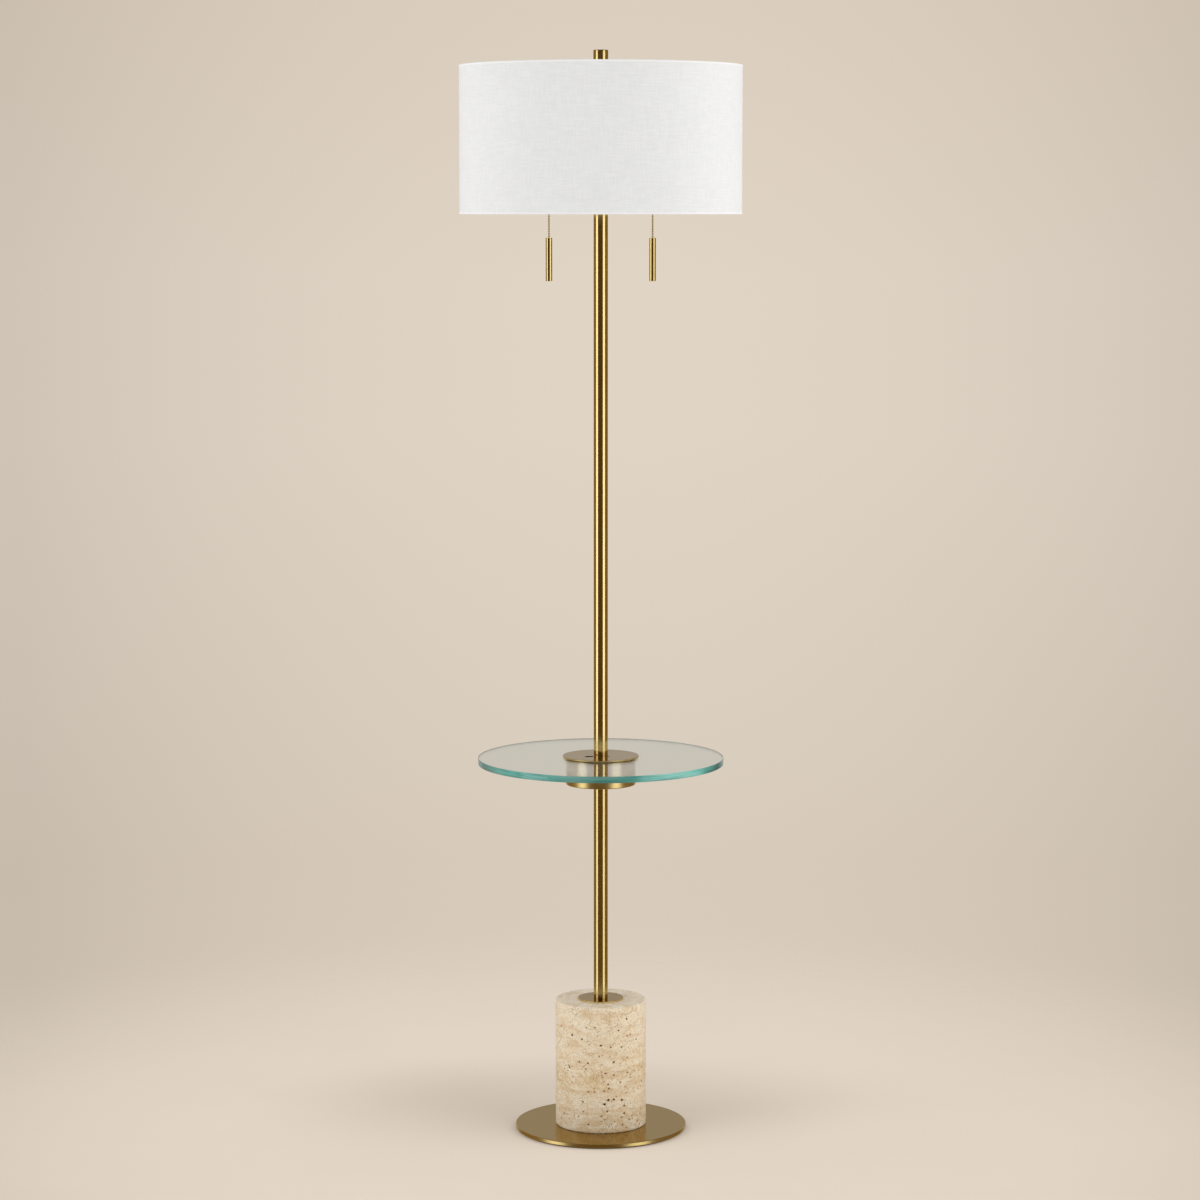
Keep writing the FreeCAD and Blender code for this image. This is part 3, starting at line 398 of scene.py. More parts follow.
def float_glass():
    """Clear float glass, green through its thickness, with a sea-green polished edge."""
    material, tree, shader = new_material("float_glass", IOR=1.52)
    place, spot = round_place(tree, GLASS_SPAN)
    rim = GLASS["radius"] * MM
    edge = remap(tree, spot["radius"], rim - 0.0009, rim - 0.0003)
    smear = speckle(tree, object_place(tree), 6.0, 4.0, 0.6, 0.6)
    streak = speckle(tree, place, (22.0, 900.0, 1.0), 3.0, 0.6, 0.4)
    patch = speckle(tree, place, (13.0, 30.0, 1.0))
    tone = calc(tree, "MULTIPLY_ADD", streak, 0.5, times(tree, patch, 0.5))
    level = remap(tree, spot["height"], GLASS["low"] * MM, GLASS["high"] * MM)
    across = remap(tree, parts_of(tree, object_place(tree))["X"], -GLASS_SPAN, GLASS_SPAN)
    sea = ramp(tree, tone, [(0.40, SEA_DEEP), (0.5, SEA_GREEN), (0.62, SEA_PALE)])
    # Painted reflection and shade on the edge: lighter and darker bands by height, darker towards its left
    # and right ends
    sea = multiplied(tree, sea, ramp(tree, level, EDGE_PAINTED_BANDS))
    sea = multiplied(tree, sea, ramp(tree, across, EDGE_PAINTED_ENDS))
    feed(tree, shader, Base_Color=blend(tree, edge, WHITE, sea),
         Transmission_Weight=remap(tree, edge, 0.0, 1.0, 1.0, 0.3),
         Roughness=calc(tree, "MULTIPLY_ADD", edge, 0.08, remap(tree, smear, 0.45, 0.8, 0.0, 0.02)),
         Normal=bump(tree, streak, 0.00003, 0.3))
    depth = node(tree, "VolumeAbsorption", {"Color": (*DEPTH_GREEN, 1.0), "Density": 5.0})
    tree.links.new(depth.outputs["Volume"], tree.nodes["Material Output"].inputs["Volume"])
    return material


def woven(name, white, pitch, spread, slub=0.5, relief=0.00012):
    """A plain weave of threads with slubs; pitch is the threads' spacing in metres."""
    material, tree, shader = new_material(name, Roughness=0.85, Sheen_Weight=0.25, Sheen_Roughness=0.5)
    place, spot = round_place(tree, spread)
    wander = speckle(tree, place, (60.0, 9.0, 1.0))
    drift = speckle(tree, place, (9.0, 60.0, 1.0))

    def wave(distance, bend):
        """Up across one thread and down across the next."""
        turns = times(tree, distance, 2 * pi / pitch)
        phase = calc(tree, "ADD", turns, times(tree, bend, 5.0))
        return calc(tree, "SINE", times(tree, phase, 0.5))

    warp_wave, weft_wave = wave(spot["across"], drift), wave(spot["height"], wander)
    over = calc(tree, "SIGN", times(tree, warp_wave, weft_wave))
    crossing = calc(tree, "MULTIPLY_ADD", over, 0.5, 0.5)
    warp = times(tree, calc(tree, "ABSOLUTE", warp_wave), crossing)
    weft = times(tree, calc(tree, "ABSOLUTE", weft_wave), calc(tree, "SUBTRACT", 1.0, crossing))
    threads = calc(tree, "ADD", warp, weft)
    thick_warp = speckle(tree, place, (620.0, 45.0, 1.0), 3.0, 0.6)
    thick_weft = speckle(tree, place, (45.0, 620.0, 1.0), 3.0, 0.6)
    slubs = calc(tree, "MAXIMUM", remap(tree, thick_warp, 0.55, 0.8), remap(tree, thick_weft, 0.55, 0.8))
    cloudy = speckle(tree, place, (30.0, 30.0, 30.0), 4.0, 0.6)
    # The colour follows the threads' relief: pale on their crowns and on slubs, deep where a thread dips
    # under the next, painted light and shade of the weave, with a random cloudiness
    level = calc(tree, "ADD", times(tree, threads, 0.7), times(tree, cloudy, 0.3))
    pale = tuple(min(1.0, c * 1.04) for c in white)
    deep = tuple(c * 0.86 for c in white)
    colour = ramp(tree, level, [(0.15, deep), (0.75, pale)])
    uneven = times(tree, calc(tree, "ADD", thick_warp, thick_weft), 0.5)
    colour = blend(tree, remap(tree, uneven, 0.42, 0.58, slub * 0.9, 0.0), colour, deep)
    colour = blend(tree, times(tree, slubs, slub * 0.6), colour, pale)
    height = calc(tree, "MULTIPLY_ADD", slubs, slub, threads)
    feed(tree, shader, Base_Color=colour, Normal=bump(tree, height, relief, 0.6))
    return material


def fine_grain(name, colour, rough, scale, spread, relief=0.00003, **inputs):
    """A plain finish with a fine grain and a slight mottle, its colour varied by the spread."""
    material, tree, shader = new_material(name, **inputs)
    place = object_place(tree)
    grain = speckle(tree, place, scale, 4.0, 0.6)
    mottle = speckle(tree, place, scale / 12, 4.0, 0.6, 0.5)
    mixed = calc(tree, "MULTIPLY_ADD", grain, 0.4, times(tree, mottle, 0.6))
    darkest = tuple(c * (1 - spread) for c in colour)
    lightest = tuple(min(1.0, c * (1 + spread)) for c in colour)
    feed(tree, shader, Base_Color=ramp(tree, mixed, list(zip(USUAL, (darkest, lightest)))),
         Roughness=remap(tree, mixed, *USUAL, *rough), Normal=bump(tree, grain, relief, 0.5))
    return material


MATERIALS = {
    "satin_brass": brass("satin_brass_fittings", PLAIN_GRAIN, (0.13, 0.15)),
    "bead_brass": brass("bead_brass_plated", PLAIN_GRAIN, (0.14, 0.2), (BEAD_GOLD, BEAD_AGED)),
    "travertine": travertine(),
    "shelf_glass": float_glass(),
    "shade_linen": woven("shade_linen_weave", LINEN, 0.0011, 0.2155),
    "shade_lining": fine_grain("shade_lining_film", (0.84, 0.84, 0.82), (0.4, 0.5), 900.0, 0.02),
    "trim_cloth": woven("trim_cloth_weave", TRIM_WHITE_PAINTED_HIGHLIGHT, 0.0007, 0.216, 0.2, 0.00006),
    "bulb_frost": fine_grain("bulb_frosted_glass", (0.88, 0.88, 0.86), (0.35, 0.45), 1500.0, 0.02,
                             Subsurface_Weight=0.15, Coat_Weight=0.1),
    "nickel_contact": fine_grain("nickel_plate", (0.66, 0.64, 0.60), (0.2, 0.32), 700.0, 0.08,
                                 Metallic=1.0),
    "zinc_steel": fine_grain("zinc_plated_steel", (0.62, 0.62, 0.60), (0.3, 0.45), 400.0, 0.12,
                             Metallic=1.0),
    "phenolic": fine_grain("phenolic_black", (0.035, 0.033, 0.03), (0.3, 0.42), 600.0, 0.2),
    "clear_rubber": fine_grain("clear_gasket", (0.86, 0.87, 0.85), (0.1, 0.2), 500.0, 0.02,
                               Transmission_Weight=0.85, IOR=1.45),
    "black_rubber": fine_grain("gasket_black_rubber", (0.018, 0.017, 0.016), (0.55, 0.7), 800.0, 0.2,
                               Specular_IOR_Level=0.1),
    "nylon": fine_grain("nylon_natural", (0.80, 0.79, 0.74), (0.45, 0.55), 500.0, 0.03),
    "felt": fine_grain("felt_pad_wool", (0.07, 0.062, 0.055), (0.9, 1.0), 1400.0, 0.35, 0.0003,
                       Sheen_Weight=0.4),
}
TUBE_BRASS = brass("satin_brass_tube", LONG_GRAIN, (0.125, 0.14))
LATHED_BRASS = brass("satin_brass_lathed", RING_GRAIN, (0.195, 0.21), Anisotropic=0.95,
                     Anisotropic_Rotation=0.25)
# The cup's wall is painted pale in a band under the glass: painted light
CUP_BRASS = brass("satin_brass_turned", FINE_RING_GRAIN, (0.31, 0.35),
                  painted_veil_band=((CUP["low"] + 6.3) * MM, (CUP["low"] + 19.3) * MM))
PLATE_BRASS = brass("satin_brass_plate", FACE_GRAIN, (0.16, 0.2), top=BRONZE_PAINTED_REFLECTION, glance=(0.88, 0.82, 0.66))
FLANGE_BRASS = brass("satin_brass_flange", FACE_GRAIN, (0.07, 0.1), top=BRONZE_PAINTED_REFLECTION,
                     glance=(0.88, 0.84, 0.72), rim=0.4)
DISC_BRASS = brass("satin_brass_disc", FACE_GRAIN, (0.2, 0.24), top=OLIVE_PAINTED_REFLECTION, glance=(1.0, 0.99, 0.92),
                   rim=0.4, hole_shade_reach=0.04)

for cad_object in frame["nodes"].values():
    for cad_slot in cad_object.material_slots:
        cad_slot.material = MATERIALS[cad_slot.material.name.split(".")[0]]


# Meshes

# Points on a rounded corner, the flat beside it that keeps its shading, and the largest
# share of a side that a corner takes
ROUND_STEPS = 5
SUPPORT = 0.4
SIDE_SHARE = 0.48


def levels(sizes):
    return sizes["low"], sizes["high"], sizes["radius"]


def rounded(corners):
    """Points of a closed outline from (radius, height, rounding) corners."""
    points = []
    for i, (r, z, size) in enumerate(corners):
        if not size:
            points.append((r, z))
            continue
        here = Vector((r, z))
        before = Vector(corners[i - 1][:2]) - here
        after = Vector(corners[(i + 1) % len(corners)][:2]) - here
        half = before.angle(after) / 2
        limits = SIDE_SHARE * before.length, SIDE_SHARE * after.length
        reach = min(size / tan(half), *limits)
        size = reach * tan(half)
        hold = [min(reach + SUPPORT, limit) for limit in limits]
        before.normalize()
        after.normalize()
        centre = here + (before + after).normalized() * size / sin(half)
        first = here + before * reach - centre
        last = here + after * reach - centre
        if hold[0] > reach:
            points.append(tuple(here + before * hold[0]))
        for step in range(ROUND_STEPS + 1):
            spoke = centre + first.slerp(last, step / ROUND_STEPS) * size
            points.append((spoke.x, spoke.y))
        if hold[1] > reach:
            points.append(tuple(here + after * hold[1]))
    return points


def circle(radius, facets, x=0.0, y=0.0):
    turns = [2 * pi * k / facets for k in range(facets)]
    return [(x + radius * cos(turn), y + radius * sin(turn)) for turn in turns]


def bridge(bm, first, second):
    """Faces between two closed rings of vertices, of which one may be a single point."""
    for k in range(max(len(first), len(second))):
        if len(first) == 1:
            bm.faces.new((first[0], second[(k + 1) % len(second)], second[k]))
        elif len(second) == 1:
            bm.faces.new((first[k], first[(k + 1) % len(first)], second[0]))
        else:
            after = (k + 1) % len(first)
            bm.faces.new((first[k], first[after], second[after], second[k]))


def turned_mesh(outline, facets, place=ON_AXIS, closed=True):
    """An outline turned round the Z axis; points on the axis become single vertices."""
    bm = bmesh.new()
    rings = []
    for r, z in outline:
        spots = circle(r, facets) if r else [(0.0, 0.0)]
        rings.append([bm.verts.new(place @ Vector((x * MM, y * MM, z * MM))) for x, y in spots])
    followers = rings[1:] + rings[:1] if closed else rings[1:]
    for first, second in zip(rings, followers):
        if max(len(first), len(second)) > 1:
            bridge(bm, first, second)
    return bm


def polar(place):
    """A place in millimetres, its distance from the axis and its angle round it."""
    spot = place / MM
    return spot, hypot(spot.x, spot.y), atan2(spot.y, spot.x)


def move_out(vertex, out, wanted):
    """Moves a vertex along its spoke, from its distance out to the wanted one."""
    scale = wanted / out
    vertex.co.x *= scale
    vertex.co.y *= scale


def new_object(name, data):
    made = bpy.data.objects.new(name, data)
    bpy.context.scene.collection.objects.link(made)
    return made


def mesh_object(name, bm, material):
    mesh = bpy.data.meshes.new(name)
    bm.to_mesh(mesh)
    bm.free()
    mesh.materials.append(material)
    return new_object(name, mesh)


def finished(name, bm, body, slot, replaced=None, material=None, sharp=38.0):
    """The piece from its mesh: shaded, dressed, riding on its body, standing for its CAD node if any."""
    bmesh.ops.recalc_face_normals(bm, faces=bm.faces)
    piece = mesh_object(name, bm, material or MATERIALS[slot])
    for polygon in piece.data.polygons:
        polygon.use_smooth = True
    piece.data.set_sharp_from_angle(angle=radians(sharp))
    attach(piece, body)
    if replaced:
        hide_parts(replaced)
    return piece


# Brass pieces and glass


def turned_brass(cad_name, corners, sizes, material, body="stand", place=ON_AXIS):
    bm = turned_mesh(rounded(corners), sizes["facets"], place)
    finished(cad_name + "_satin", bm, body, "satin_brass", cad_name, material)


def stem_tube(cad_name, low, high, material):
    edge = STEM["edge"]
    corners = [(STEM["bore"], low, edge), (STEM["radius"], low, edge),
               (STEM["radius"], high, edge), (STEM["bore"], high, edge)]
    turned_brass(cad_name, corners, STEM, material)


def base_plate():
    """The plate, with the recess for the nut under it."""
    low, high, radius = levels(PLATE)
    recess, roof = PLATE["recess"], low + PLATE["recess_depth"]
    corners = [(PIPE_HOLE, high, 0), (radius, high, PLATE["top_edge"]), (radius, low, PLATE["foot_edge"]),
               (recess, low, PLATE["recess_edge"]), (recess, roof, 0), (PIPE_HOLE, roof, 0)]
    turned_brass("base_plate", corners, PLATE, PLATE_BRASS)


def flange():
    """The flange on the stone, with the spigot that enters the lower stem."""
    low, high, radius = levels(FLANGE)
    spigot, tip = SPIGOT["radius"], high + SPIGOT["length"]
    corners = [(PIPE_HOLE, low, 0), (radius, low, FLANGE["edge"]), (radius, high, FLANGE["edge"]),
               (spigot, high, 0), (spigot, tip, SPIGOT["edge"]), (PIPE_HOLE, tip, 0)]
    turned_brass("stone_flange", corners, FLANGE, FLANGE_BRASS)


def cup():
    """The cup under the glass, with the spigot that enters the lower stem."""
    low, high, radius = levels(CUP)
    spigot, tip = SPIGOT["radius"], low - SPIGOT["length"]
    inside, bottom = radius - CUP["wall"], low + CUP["floor"]
    corners = [(PIPE_HOLE, tip, 0), (spigot, tip, SPIGOT["edge"]), (spigot, low, 0),
               (radius, low, CUP["foot_edge"]), (radius, high, CUP["edge"]), (inside, high, CUP["edge"]),
               (inside, bottom, CUP["corner"]), (PIPE_HOLE, bottom, 0)]
    turned_brass("shelf_cup", corners, CUP, CUP_BRASS)


def glass():
    """The shelf, a hair thinner than its place, so no face lies in a gasket's face."""
    hair = 0.03
    low, high, radius = GLASS["low"] + hair, GLASS["high"] - hair, GLASS["radius"]
    bore, bevel = GLASS["bore"], GLASS["bevel"]
    outline = [(bore, low), (radius - bevel, low), (radius, low + bevel), (radius, high - bevel),
               (radius - bevel, high), (bore, high)]
    bm = turned_mesh(outline, GLASS["facets"])
    finished("glass_shelf_polished", bm, "stand", "shelf_glass", "glass_shelf", sharp=20.0)


def slot_outline():
    """The outline of the slot with its round ends, from its right end to its left one."""
    spots = []
    for end in (1, -1):
        for k in range(SLOT["end_facets"] + 1):
            turn = pi * k / SLOT["end_facets"]
            spots.append((SLOT["side"] + end * (SLOT["length"] / 2 + SLOT["radius"] * sin(turn)),
                          SLOT["front"] - end * SLOT["radius"] * cos(turn)))
    return spots


def clamp_disc():
    """The disc on the glass, with its slot and pin hole cut through."""
    low, high, radius = levels(DISC)
    pin_hole = circle(PIN_HOLE["radius"], PIN_HOLE["facets"], PIN_HOLE["side"], PIN_HOLE["front"])
    holes = [slot_outline(), pin_hole, circle(PIPE_HOLE, DISC["bore_facets"])]
    rim = rounded([(0.0, low, 0), (radius, low, DISC["foot_edge"]), (radius, high, DISC["top_edge"]),
                   (0.0, high, 0)])[1:-1]
    bm = bmesh.new()

    def loop(points, z):
        return [bm.verts.new((x * MM, y * MM, z * MM)) for x, y in points]

    rims = [loop(circle(r, DISC["facets"]), z) for r, z in rim]
    floors = [loop(points, low) for points in holes]
    tops = [loop(points, high) for points in holes]
    for first, second in list(zip(rims, rims[1:])) + list(zip(floors, tops)):
        bridge(bm, first, second)
    for loops in (floors + [rims[0]], tops + [rims[-1]]):
        edges = [bm.edges.get((line[k - 1], line[k])) for line in loops for k in range(len(line))]
        bmesh.ops.triangle_fill(bm, edges=edges, use_beauty=True, normal=(0, 0, 1))
    finished("clamp_disc_satin", bm, "stand", "satin_brass", "clamp_disc", DISC_BRASS)


def finial():
    low, high, radius = levels(FINIAL)
    bore, roof = FINIAL["bore"], low + FINIAL["depth"]
    corners = [(bore, low, 0), (radius, low, FINIAL["foot_edge"]), (radius, high, FINIAL["top_edge"]),
               (0.0, high, 0), (0.0, roof, 0), (bore, roof, 0)]
    turned_brass("finial", corners, FINIAL, TUBE_BRASS, "finial")


def beside_stem(sign):
    return Matrix.Translation((sign * BAR["side"] * MM, 0, 0))


def pull_bar(side, sign):
    """The bar, with the hole in its top that holds the last bead."""
    low, high, radius = levels(BAR)
    bore, throat, bottom = BAR["bore"], high - BAR["mouth_depth"], high - BAR["depth"]
    corners = [(0.0, low, 0), (radius, low, BAR["edge"]), (radius, high, BAR["edge"]),
               (BAR["mouth"], high, BAR["mouth_edge"]), (bore, throat, BAR["mouth_edge"]),
               (bore, bottom, 0), (0.0, bottom, 0)]
    turned_brass("pull_bar_" + side, corners, BAR, TUBE_BRASS, "bar_" + side, beside_stem(sign))


def pull_chain(side, sign):
    """Round beads, each joined to the next by its link."""
    radius, steps = CHAIN["radius"], CHAIN["bead_steps"]
    start = asin(CHAIN["link"] / radius)
    beads = []
    for i in range(CHAIN["beads"]):
        centre = CHAIN["pivot"] - CHAIN["pitch"] * (i + 0.5)
        for step in range(steps + 1):
            turn = start + (pi - 2 * start) * step / steps
            beads.append((radius * sin(turn), centre + radius * cos(turn)))
    outline = [(0.0, beads[0][1])] + beads + [(0.0, beads[-1][1])]
    bm = turned_mesh(outline, CHAIN["facets"], beside_stem(sign), closed=False)
    name = "pull_chain_" + side
    finished(name + "_beads", bm, "chain_" + side, "bead_brass", name, sharp=60.0)


# Stone block

# Pores on the front of the block that the photograph shows as dark: degrees from the
# front towards the right, height, and radius
FRONT_PITS = [
    (9.6, 61, 1.25), (16.5, 61.5, 1.1), (4.7, 54.5, 1.3), (27.5, 59.5, 1.2), (31.0, 50.0, 1.0),
    (-39.0, 160.5, 1.1), (-24.5, 156.0, 1.0), (0.0, 147.5, 1.1), (34.5, 187.0, 1.0), (9.4, 86.0, 0.9),
    (31.0, 38.0, 1.0), (60.0, 31.0, 0.9), (27.0, 143.5, 0.9), (12.8, 144.5, 0.9), (36.5, 101.5, 0.85),
    (35.0, 160.0, 0.8), (40.0, 160.5, 0.8), (5.5, 103.0, 0.85), (2.0, 97.5, 0.75), (16.5, 120.5, 1.0),
    (-43.5, 108.5, 1.0), (-28.0, 120.0, 0.9), (-16.5, 119.0, 1.0), (-7.5, 175.5, 0.8), (-18.5, 175.0, 0.8),
    (23.0, 170.0, 0.85), (-60.5, 170.0, 0.9), (4.2, 75.5, 0.9), (-8.0, 74.0, 0.8), (-23.0, 57.0, 0.9),
    (-16.0, 21.5, 0.9), (8.0, 43.0, 0.9), (-2.0, 130.5, 0.8), (51.0, 151.5, 0.9), (64.0, 103.5, 0.9),
]
FRONT = -90
FRONT_WIDER = 1.12
FRONT_DEEPER = 1.7
# The pores all round: they fill up to the count, mostly along the beds, between the lowest
# and the highest, and sparsely above one height
PORES = dict(seed=7, count=330, beds=13, bed_low=18, bed_high=185, bed_share=0.6, waver=5, low=11,
             high=198, sparse=175, sparse_share=0.6)
PORE_RADII = (0.4, 0.5, 0.6, 0.7, 0.85, 1.05)
# Where the block's side takes pores: this near to its radius, from one height to another
PORE_SIDE = dict(inset=1.0, low=9, high=201, cut_high=200)
# The grid that finds the pores near a place, in degrees and millimetres
CELL_TURN = 6
CELL_RISE = 8
# Cuts across each edge within a reach of a pore's rim, in turn
PORE_CUTS = ((3, 1.9), (1, 0.55))
BLOCK_ROWS = dict(side=76, edge=6, top=16, top_inner=30, foot_inset=24)
CHIP = dict(right=30, reach=8, depth=1.3)
WEAR = dict(down=6, inside=8, middle=2, width=4.5, depth=0.25, scale=0.12, share=0.6)


def block_pits():
    """Pores as (angle, height, radius, depth, darkness): the front ones, then seeded ones all round."""
    dice = random.Random(PORES["seed"])
    pits = []
    for right, z, radius in FRONT_PITS:
        # How dark a pore is painted grows with its size: painted shade
        pit_shade = min(1.0, 0.2 + 0.7 * radius)
        pits.append((radians(right + FRONT), z, FRONT_WIDER * radius, FRONT_DEEPER * radius, pit_shade))
    beds = [dice.uniform(PORES["bed_low"], PORES["bed_high"]) for _ in range(PORES["beds"])]
    while len(pits) < PORES["count"]:
        angle = dice.uniform(-pi, pi)
        if dice.random() < PORES["bed_share"]:
            waver = PORES["waver"]
            z = dice.choice(beds) + dice.gauss(0, waver) + waver * sin(2 * angle)
        else:
            z = dice.uniform(12, 196)
        if z < PORES["low"] or z > PORES["high"]:
            continue
        if z > PORES["sparse"] and dice.random() < PORES["sparse_share"]:
            continue
        radius = dice.choice(PORE_RADII)
        pits.append((angle, z, radius, dice.uniform(0.7, 1.4) * radius, dice.uniform(0.45, 0.78)))
    return pits


def block_outline():
    """The block's outline from the bore's foot, out, up the side and back over the top."""
    low, high, radius = levels(STONE)
    edge, foot = STONE["edge"], STONE["foot_edge"]
    rows, edge_rows, top_rows = BLOCK_ROWS["side"], BLOCK_ROWS["edge"], BLOCK_ROWS["top"]
    outline = [(STONE["bore"], low), (radius - BLOCK_ROWS["foot_inset"], low), (radius - foot, low),
               (radius, low + foot)]
    for i in range(1, rows + 1):
        outline.append((radius, low + foot + (high - low - edge - foot) * i / rows))
    for i in range(1, edge_rows + 1):
        turn = radians(90 * i / edge_rows)
        outline.append((radius - edge + edge * cos(turn), high - edge + edge * sin(turn)))
    for i in range(1, top_rows + 1):
        outline.append((radius - edge - (radius - edge - BLOCK_ROWS["top_inner"]) * i / top_rows, high))
    outline.append((STONE["bore"], high))
    return outline


def cell_of(angle, z):
    return int(degrees(angle) // CELL_TURN), int(z // CELL_RISE)


def pits_by_cell(pits):
    cells = {}
    for pit in pits:
        cells.setdefault(cell_of(*pit[:2]), []).append(pit)
    return cells


def pits_near(cells, angle, z):
    """The pores in the cell of a place and the cells round it, each after its angle to the place."""
    column, row = cell_of(angle, z)
    columns = 360 // CELL_TURN
    for i in (-1, 0, 1):
        for j in (-1, 0, 1):
            wrapped = (column + i + columns // 2) % columns - columns // 2
            for pit in cells.get((wrapped, row + j), ()):
                yield (angle - pit[0] + pi) % (2 * pi) - pi, pit


def on_side(out, z, top):
    return out >= STONE["radius"] - PORE_SIDE["inset"] and PORE_SIDE["low"] <= z <= top


def faces_near_pits(bm, cells, reach):
    found = []
    for face in bm.faces:
        spot, out, angle = polar(face.calc_center_median())
        if not on_side(out, spot.z, PORE_SIDE["cut_high"]):
            continue
        for gap, (_, z, size, _, _) in pits_near(cells, angle, spot.z):
            if hypot(gap * STONE["radius"], spot.z - z) < size + reach:
                found.append(face)
                break
    return found


def sink_pits(bm, cells):
    """Sinks each pore into the side, and keeps how dark it is in the attribute pit: painted shade, full in
    the pore and fading out to twice its radius.
    """
    radius = STONE["radius"]
    layer = bm.verts.layers.float.new("pit")
    for vertex in bm.verts:
        spot, out, angle = polar(vertex.co)
        if not on_side(out, spot.z, PORE_SIDE["high"]):
            continue
        depth = stain = 0.0
        for gap, (_, z, size, deep, dark) in pits_near(cells, angle, spot.z):
            ragged = 1 + 0.35 * noise.noise(spot * 0.9)
            away = hypot(gap * radius, (spot.z - z) * 1.15) / (size * ragged)
            stain = max(stain, dark * min(1.0, (2.0 - away) / 1.1))
            if away < 1:
                depth = max(depth, deep * (1 - away ** 3))
        vertex[layer] = stain
        move_out(vertex, out, radius - depth)


def worn_edge(bm):
    """The block's upper edge, slightly uneven, with the flat chip right of the front."""
    radius, reach = STONE["radius"], CHIP["reach"]
    chip = radians(CHIP["right"] + FRONT)
    for vertex in bm.verts:
        spot, out, angle = polar(vertex.co)
        if spot.z < STONE["high"] - WEAR["down"] or out < radius - WEAR["inside"]:
            continue
        drop = WEAR["depth"] * max(0.0, noise.noise(spot * WEAR["scale"]))
        along = (angle - chip) * radius
        rim = max(0.0, 1 - abs(out - radius + WEAR["middle"]) / WEAR["width"])
        if abs(along) < reach and rim:
            ragged = 1 + 0.4 * noise.noise(spot * 0.5)
            drop += CHIP["depth"] * (1 - (along / reach) ** 2) * rim * ragged
        vertex.co.z -= drop * MM * rim
        move_out(vertex, out, out - drop * WEAR["share"] * rim)


def travertine_block():
    """The block with its pores, worn upper edge and the chip at the front."""
    bm = turned_mesh(block_outline(), STONE["facets"])
    cells = pits_by_cell(block_pits())
    for cuts, reach in PORE_CUTS:
        edges = {edge for face in faces_near_pits(bm, cells, reach) for edge in face.edges}
        bmesh.ops.subdivide_edges(bm, edges=list(edges), cuts=cuts, use_grid_fill=True)
    sink_pits(bm, cells)
    worn_edge(bm)
    bmesh.ops.triangulate(bm, faces=[face for face in bm.faces if len(face.verts) > 4])
    finished("travertine_block_honed", bm, "stand", "travertine", "travertine_block", sharp=55.0)


# Shade

# The sheets stop this short of the shade's two ends
SHEET_SHORT = 0.45
CLOTH = dict(outer=215.55, inner=214.95, rows=24, ripple=0.12)
LINER = dict(outer=214.9, inner=214.1, rows=12, ripple=0.0)
TRIM = dict(thick=0.4, inside=5.0, outside=3.0, leg=210.8, bend=0.85, hem=0.15, ruck=0.12)
SEAM = dict(width=9.0, lift=0.32, sunk=0.1, short=0.1, rows=60, columns=12)


def shade_sheet(cad_name, sizes, slot):
    """A thin drum wall between the shade's two edge bands, closed all round."""
    low, high = SHADE["low"] + SHEET_SHORT, SHADE["high"] - SHEET_SHORT
    outer, inner, rows = sizes["outer"], sizes["inner"], sizes["rows"]
    outline = [(inner, low), (outer, low)]
    outline += [(outer, low + (high - low) * i / rows) for i in range(1, rows)]
    outline += [(outer, high), (inner, high)]
    outline += [(inner, high - (high - low) * i / rows) for i in range(1, rows)]
    bm = turned_mesh(outline, SHADE["facets"])
    for vertex in bm.verts:
        spot, out, angle = polar(vertex.co)
        ripple = noise.noise(Vector((3.1 * cos(angle), 3.1 * sin(angle), spot.z * 0.004)))
        fade = min(1.0, (spot.z - low) / 30, (high - spot.z) / 30)
        move_out(vertex, out, out - sizes["ripple"] * fade * abs(ripple))
    return finished(cad_name + "_fine", bm, "shade", slot, cad_name)


def trim_band(cad_name, edge, inward):
    """A cloth band folded over one edge of the drum; inward is +1 below and -1 above."""
    outer, thick, leg, bend, hem = SHADE["radius"], TRIM["thick"], TRIM["leg"], TRIM["bend"], TRIM["hem"]
    lap, deep, inner_edge = (edge + inward * size for size in (TRIM["outside"], TRIM["inside"], thick))
    corners = [(outer, lap, hem), (outer, edge, bend), (leg - thick, edge, bend), (leg - thick, deep, hem),
               (leg, deep, hem), (leg, inner_edge, bend * 0.6), (outer - thick, inner_edge, bend * 0.6),
               (outer - thick, lap, hem)]
    bm = turned_mesh(rounded(corners), SHADE["facets"])
    for vertex in bm.verts:
        spot, out, angle = polar(vertex.co)
        ruck = noise.noise(Vector((24 * cos(angle), 24 * sin(angle), spot.z * 0.2)))
        move_out(vertex, out, out - TRIM["ruck"] * abs(ruck))
    finished(cad_name + "_folded", bm, "shade", "trim_cloth", cad_name, sharp=60.0)


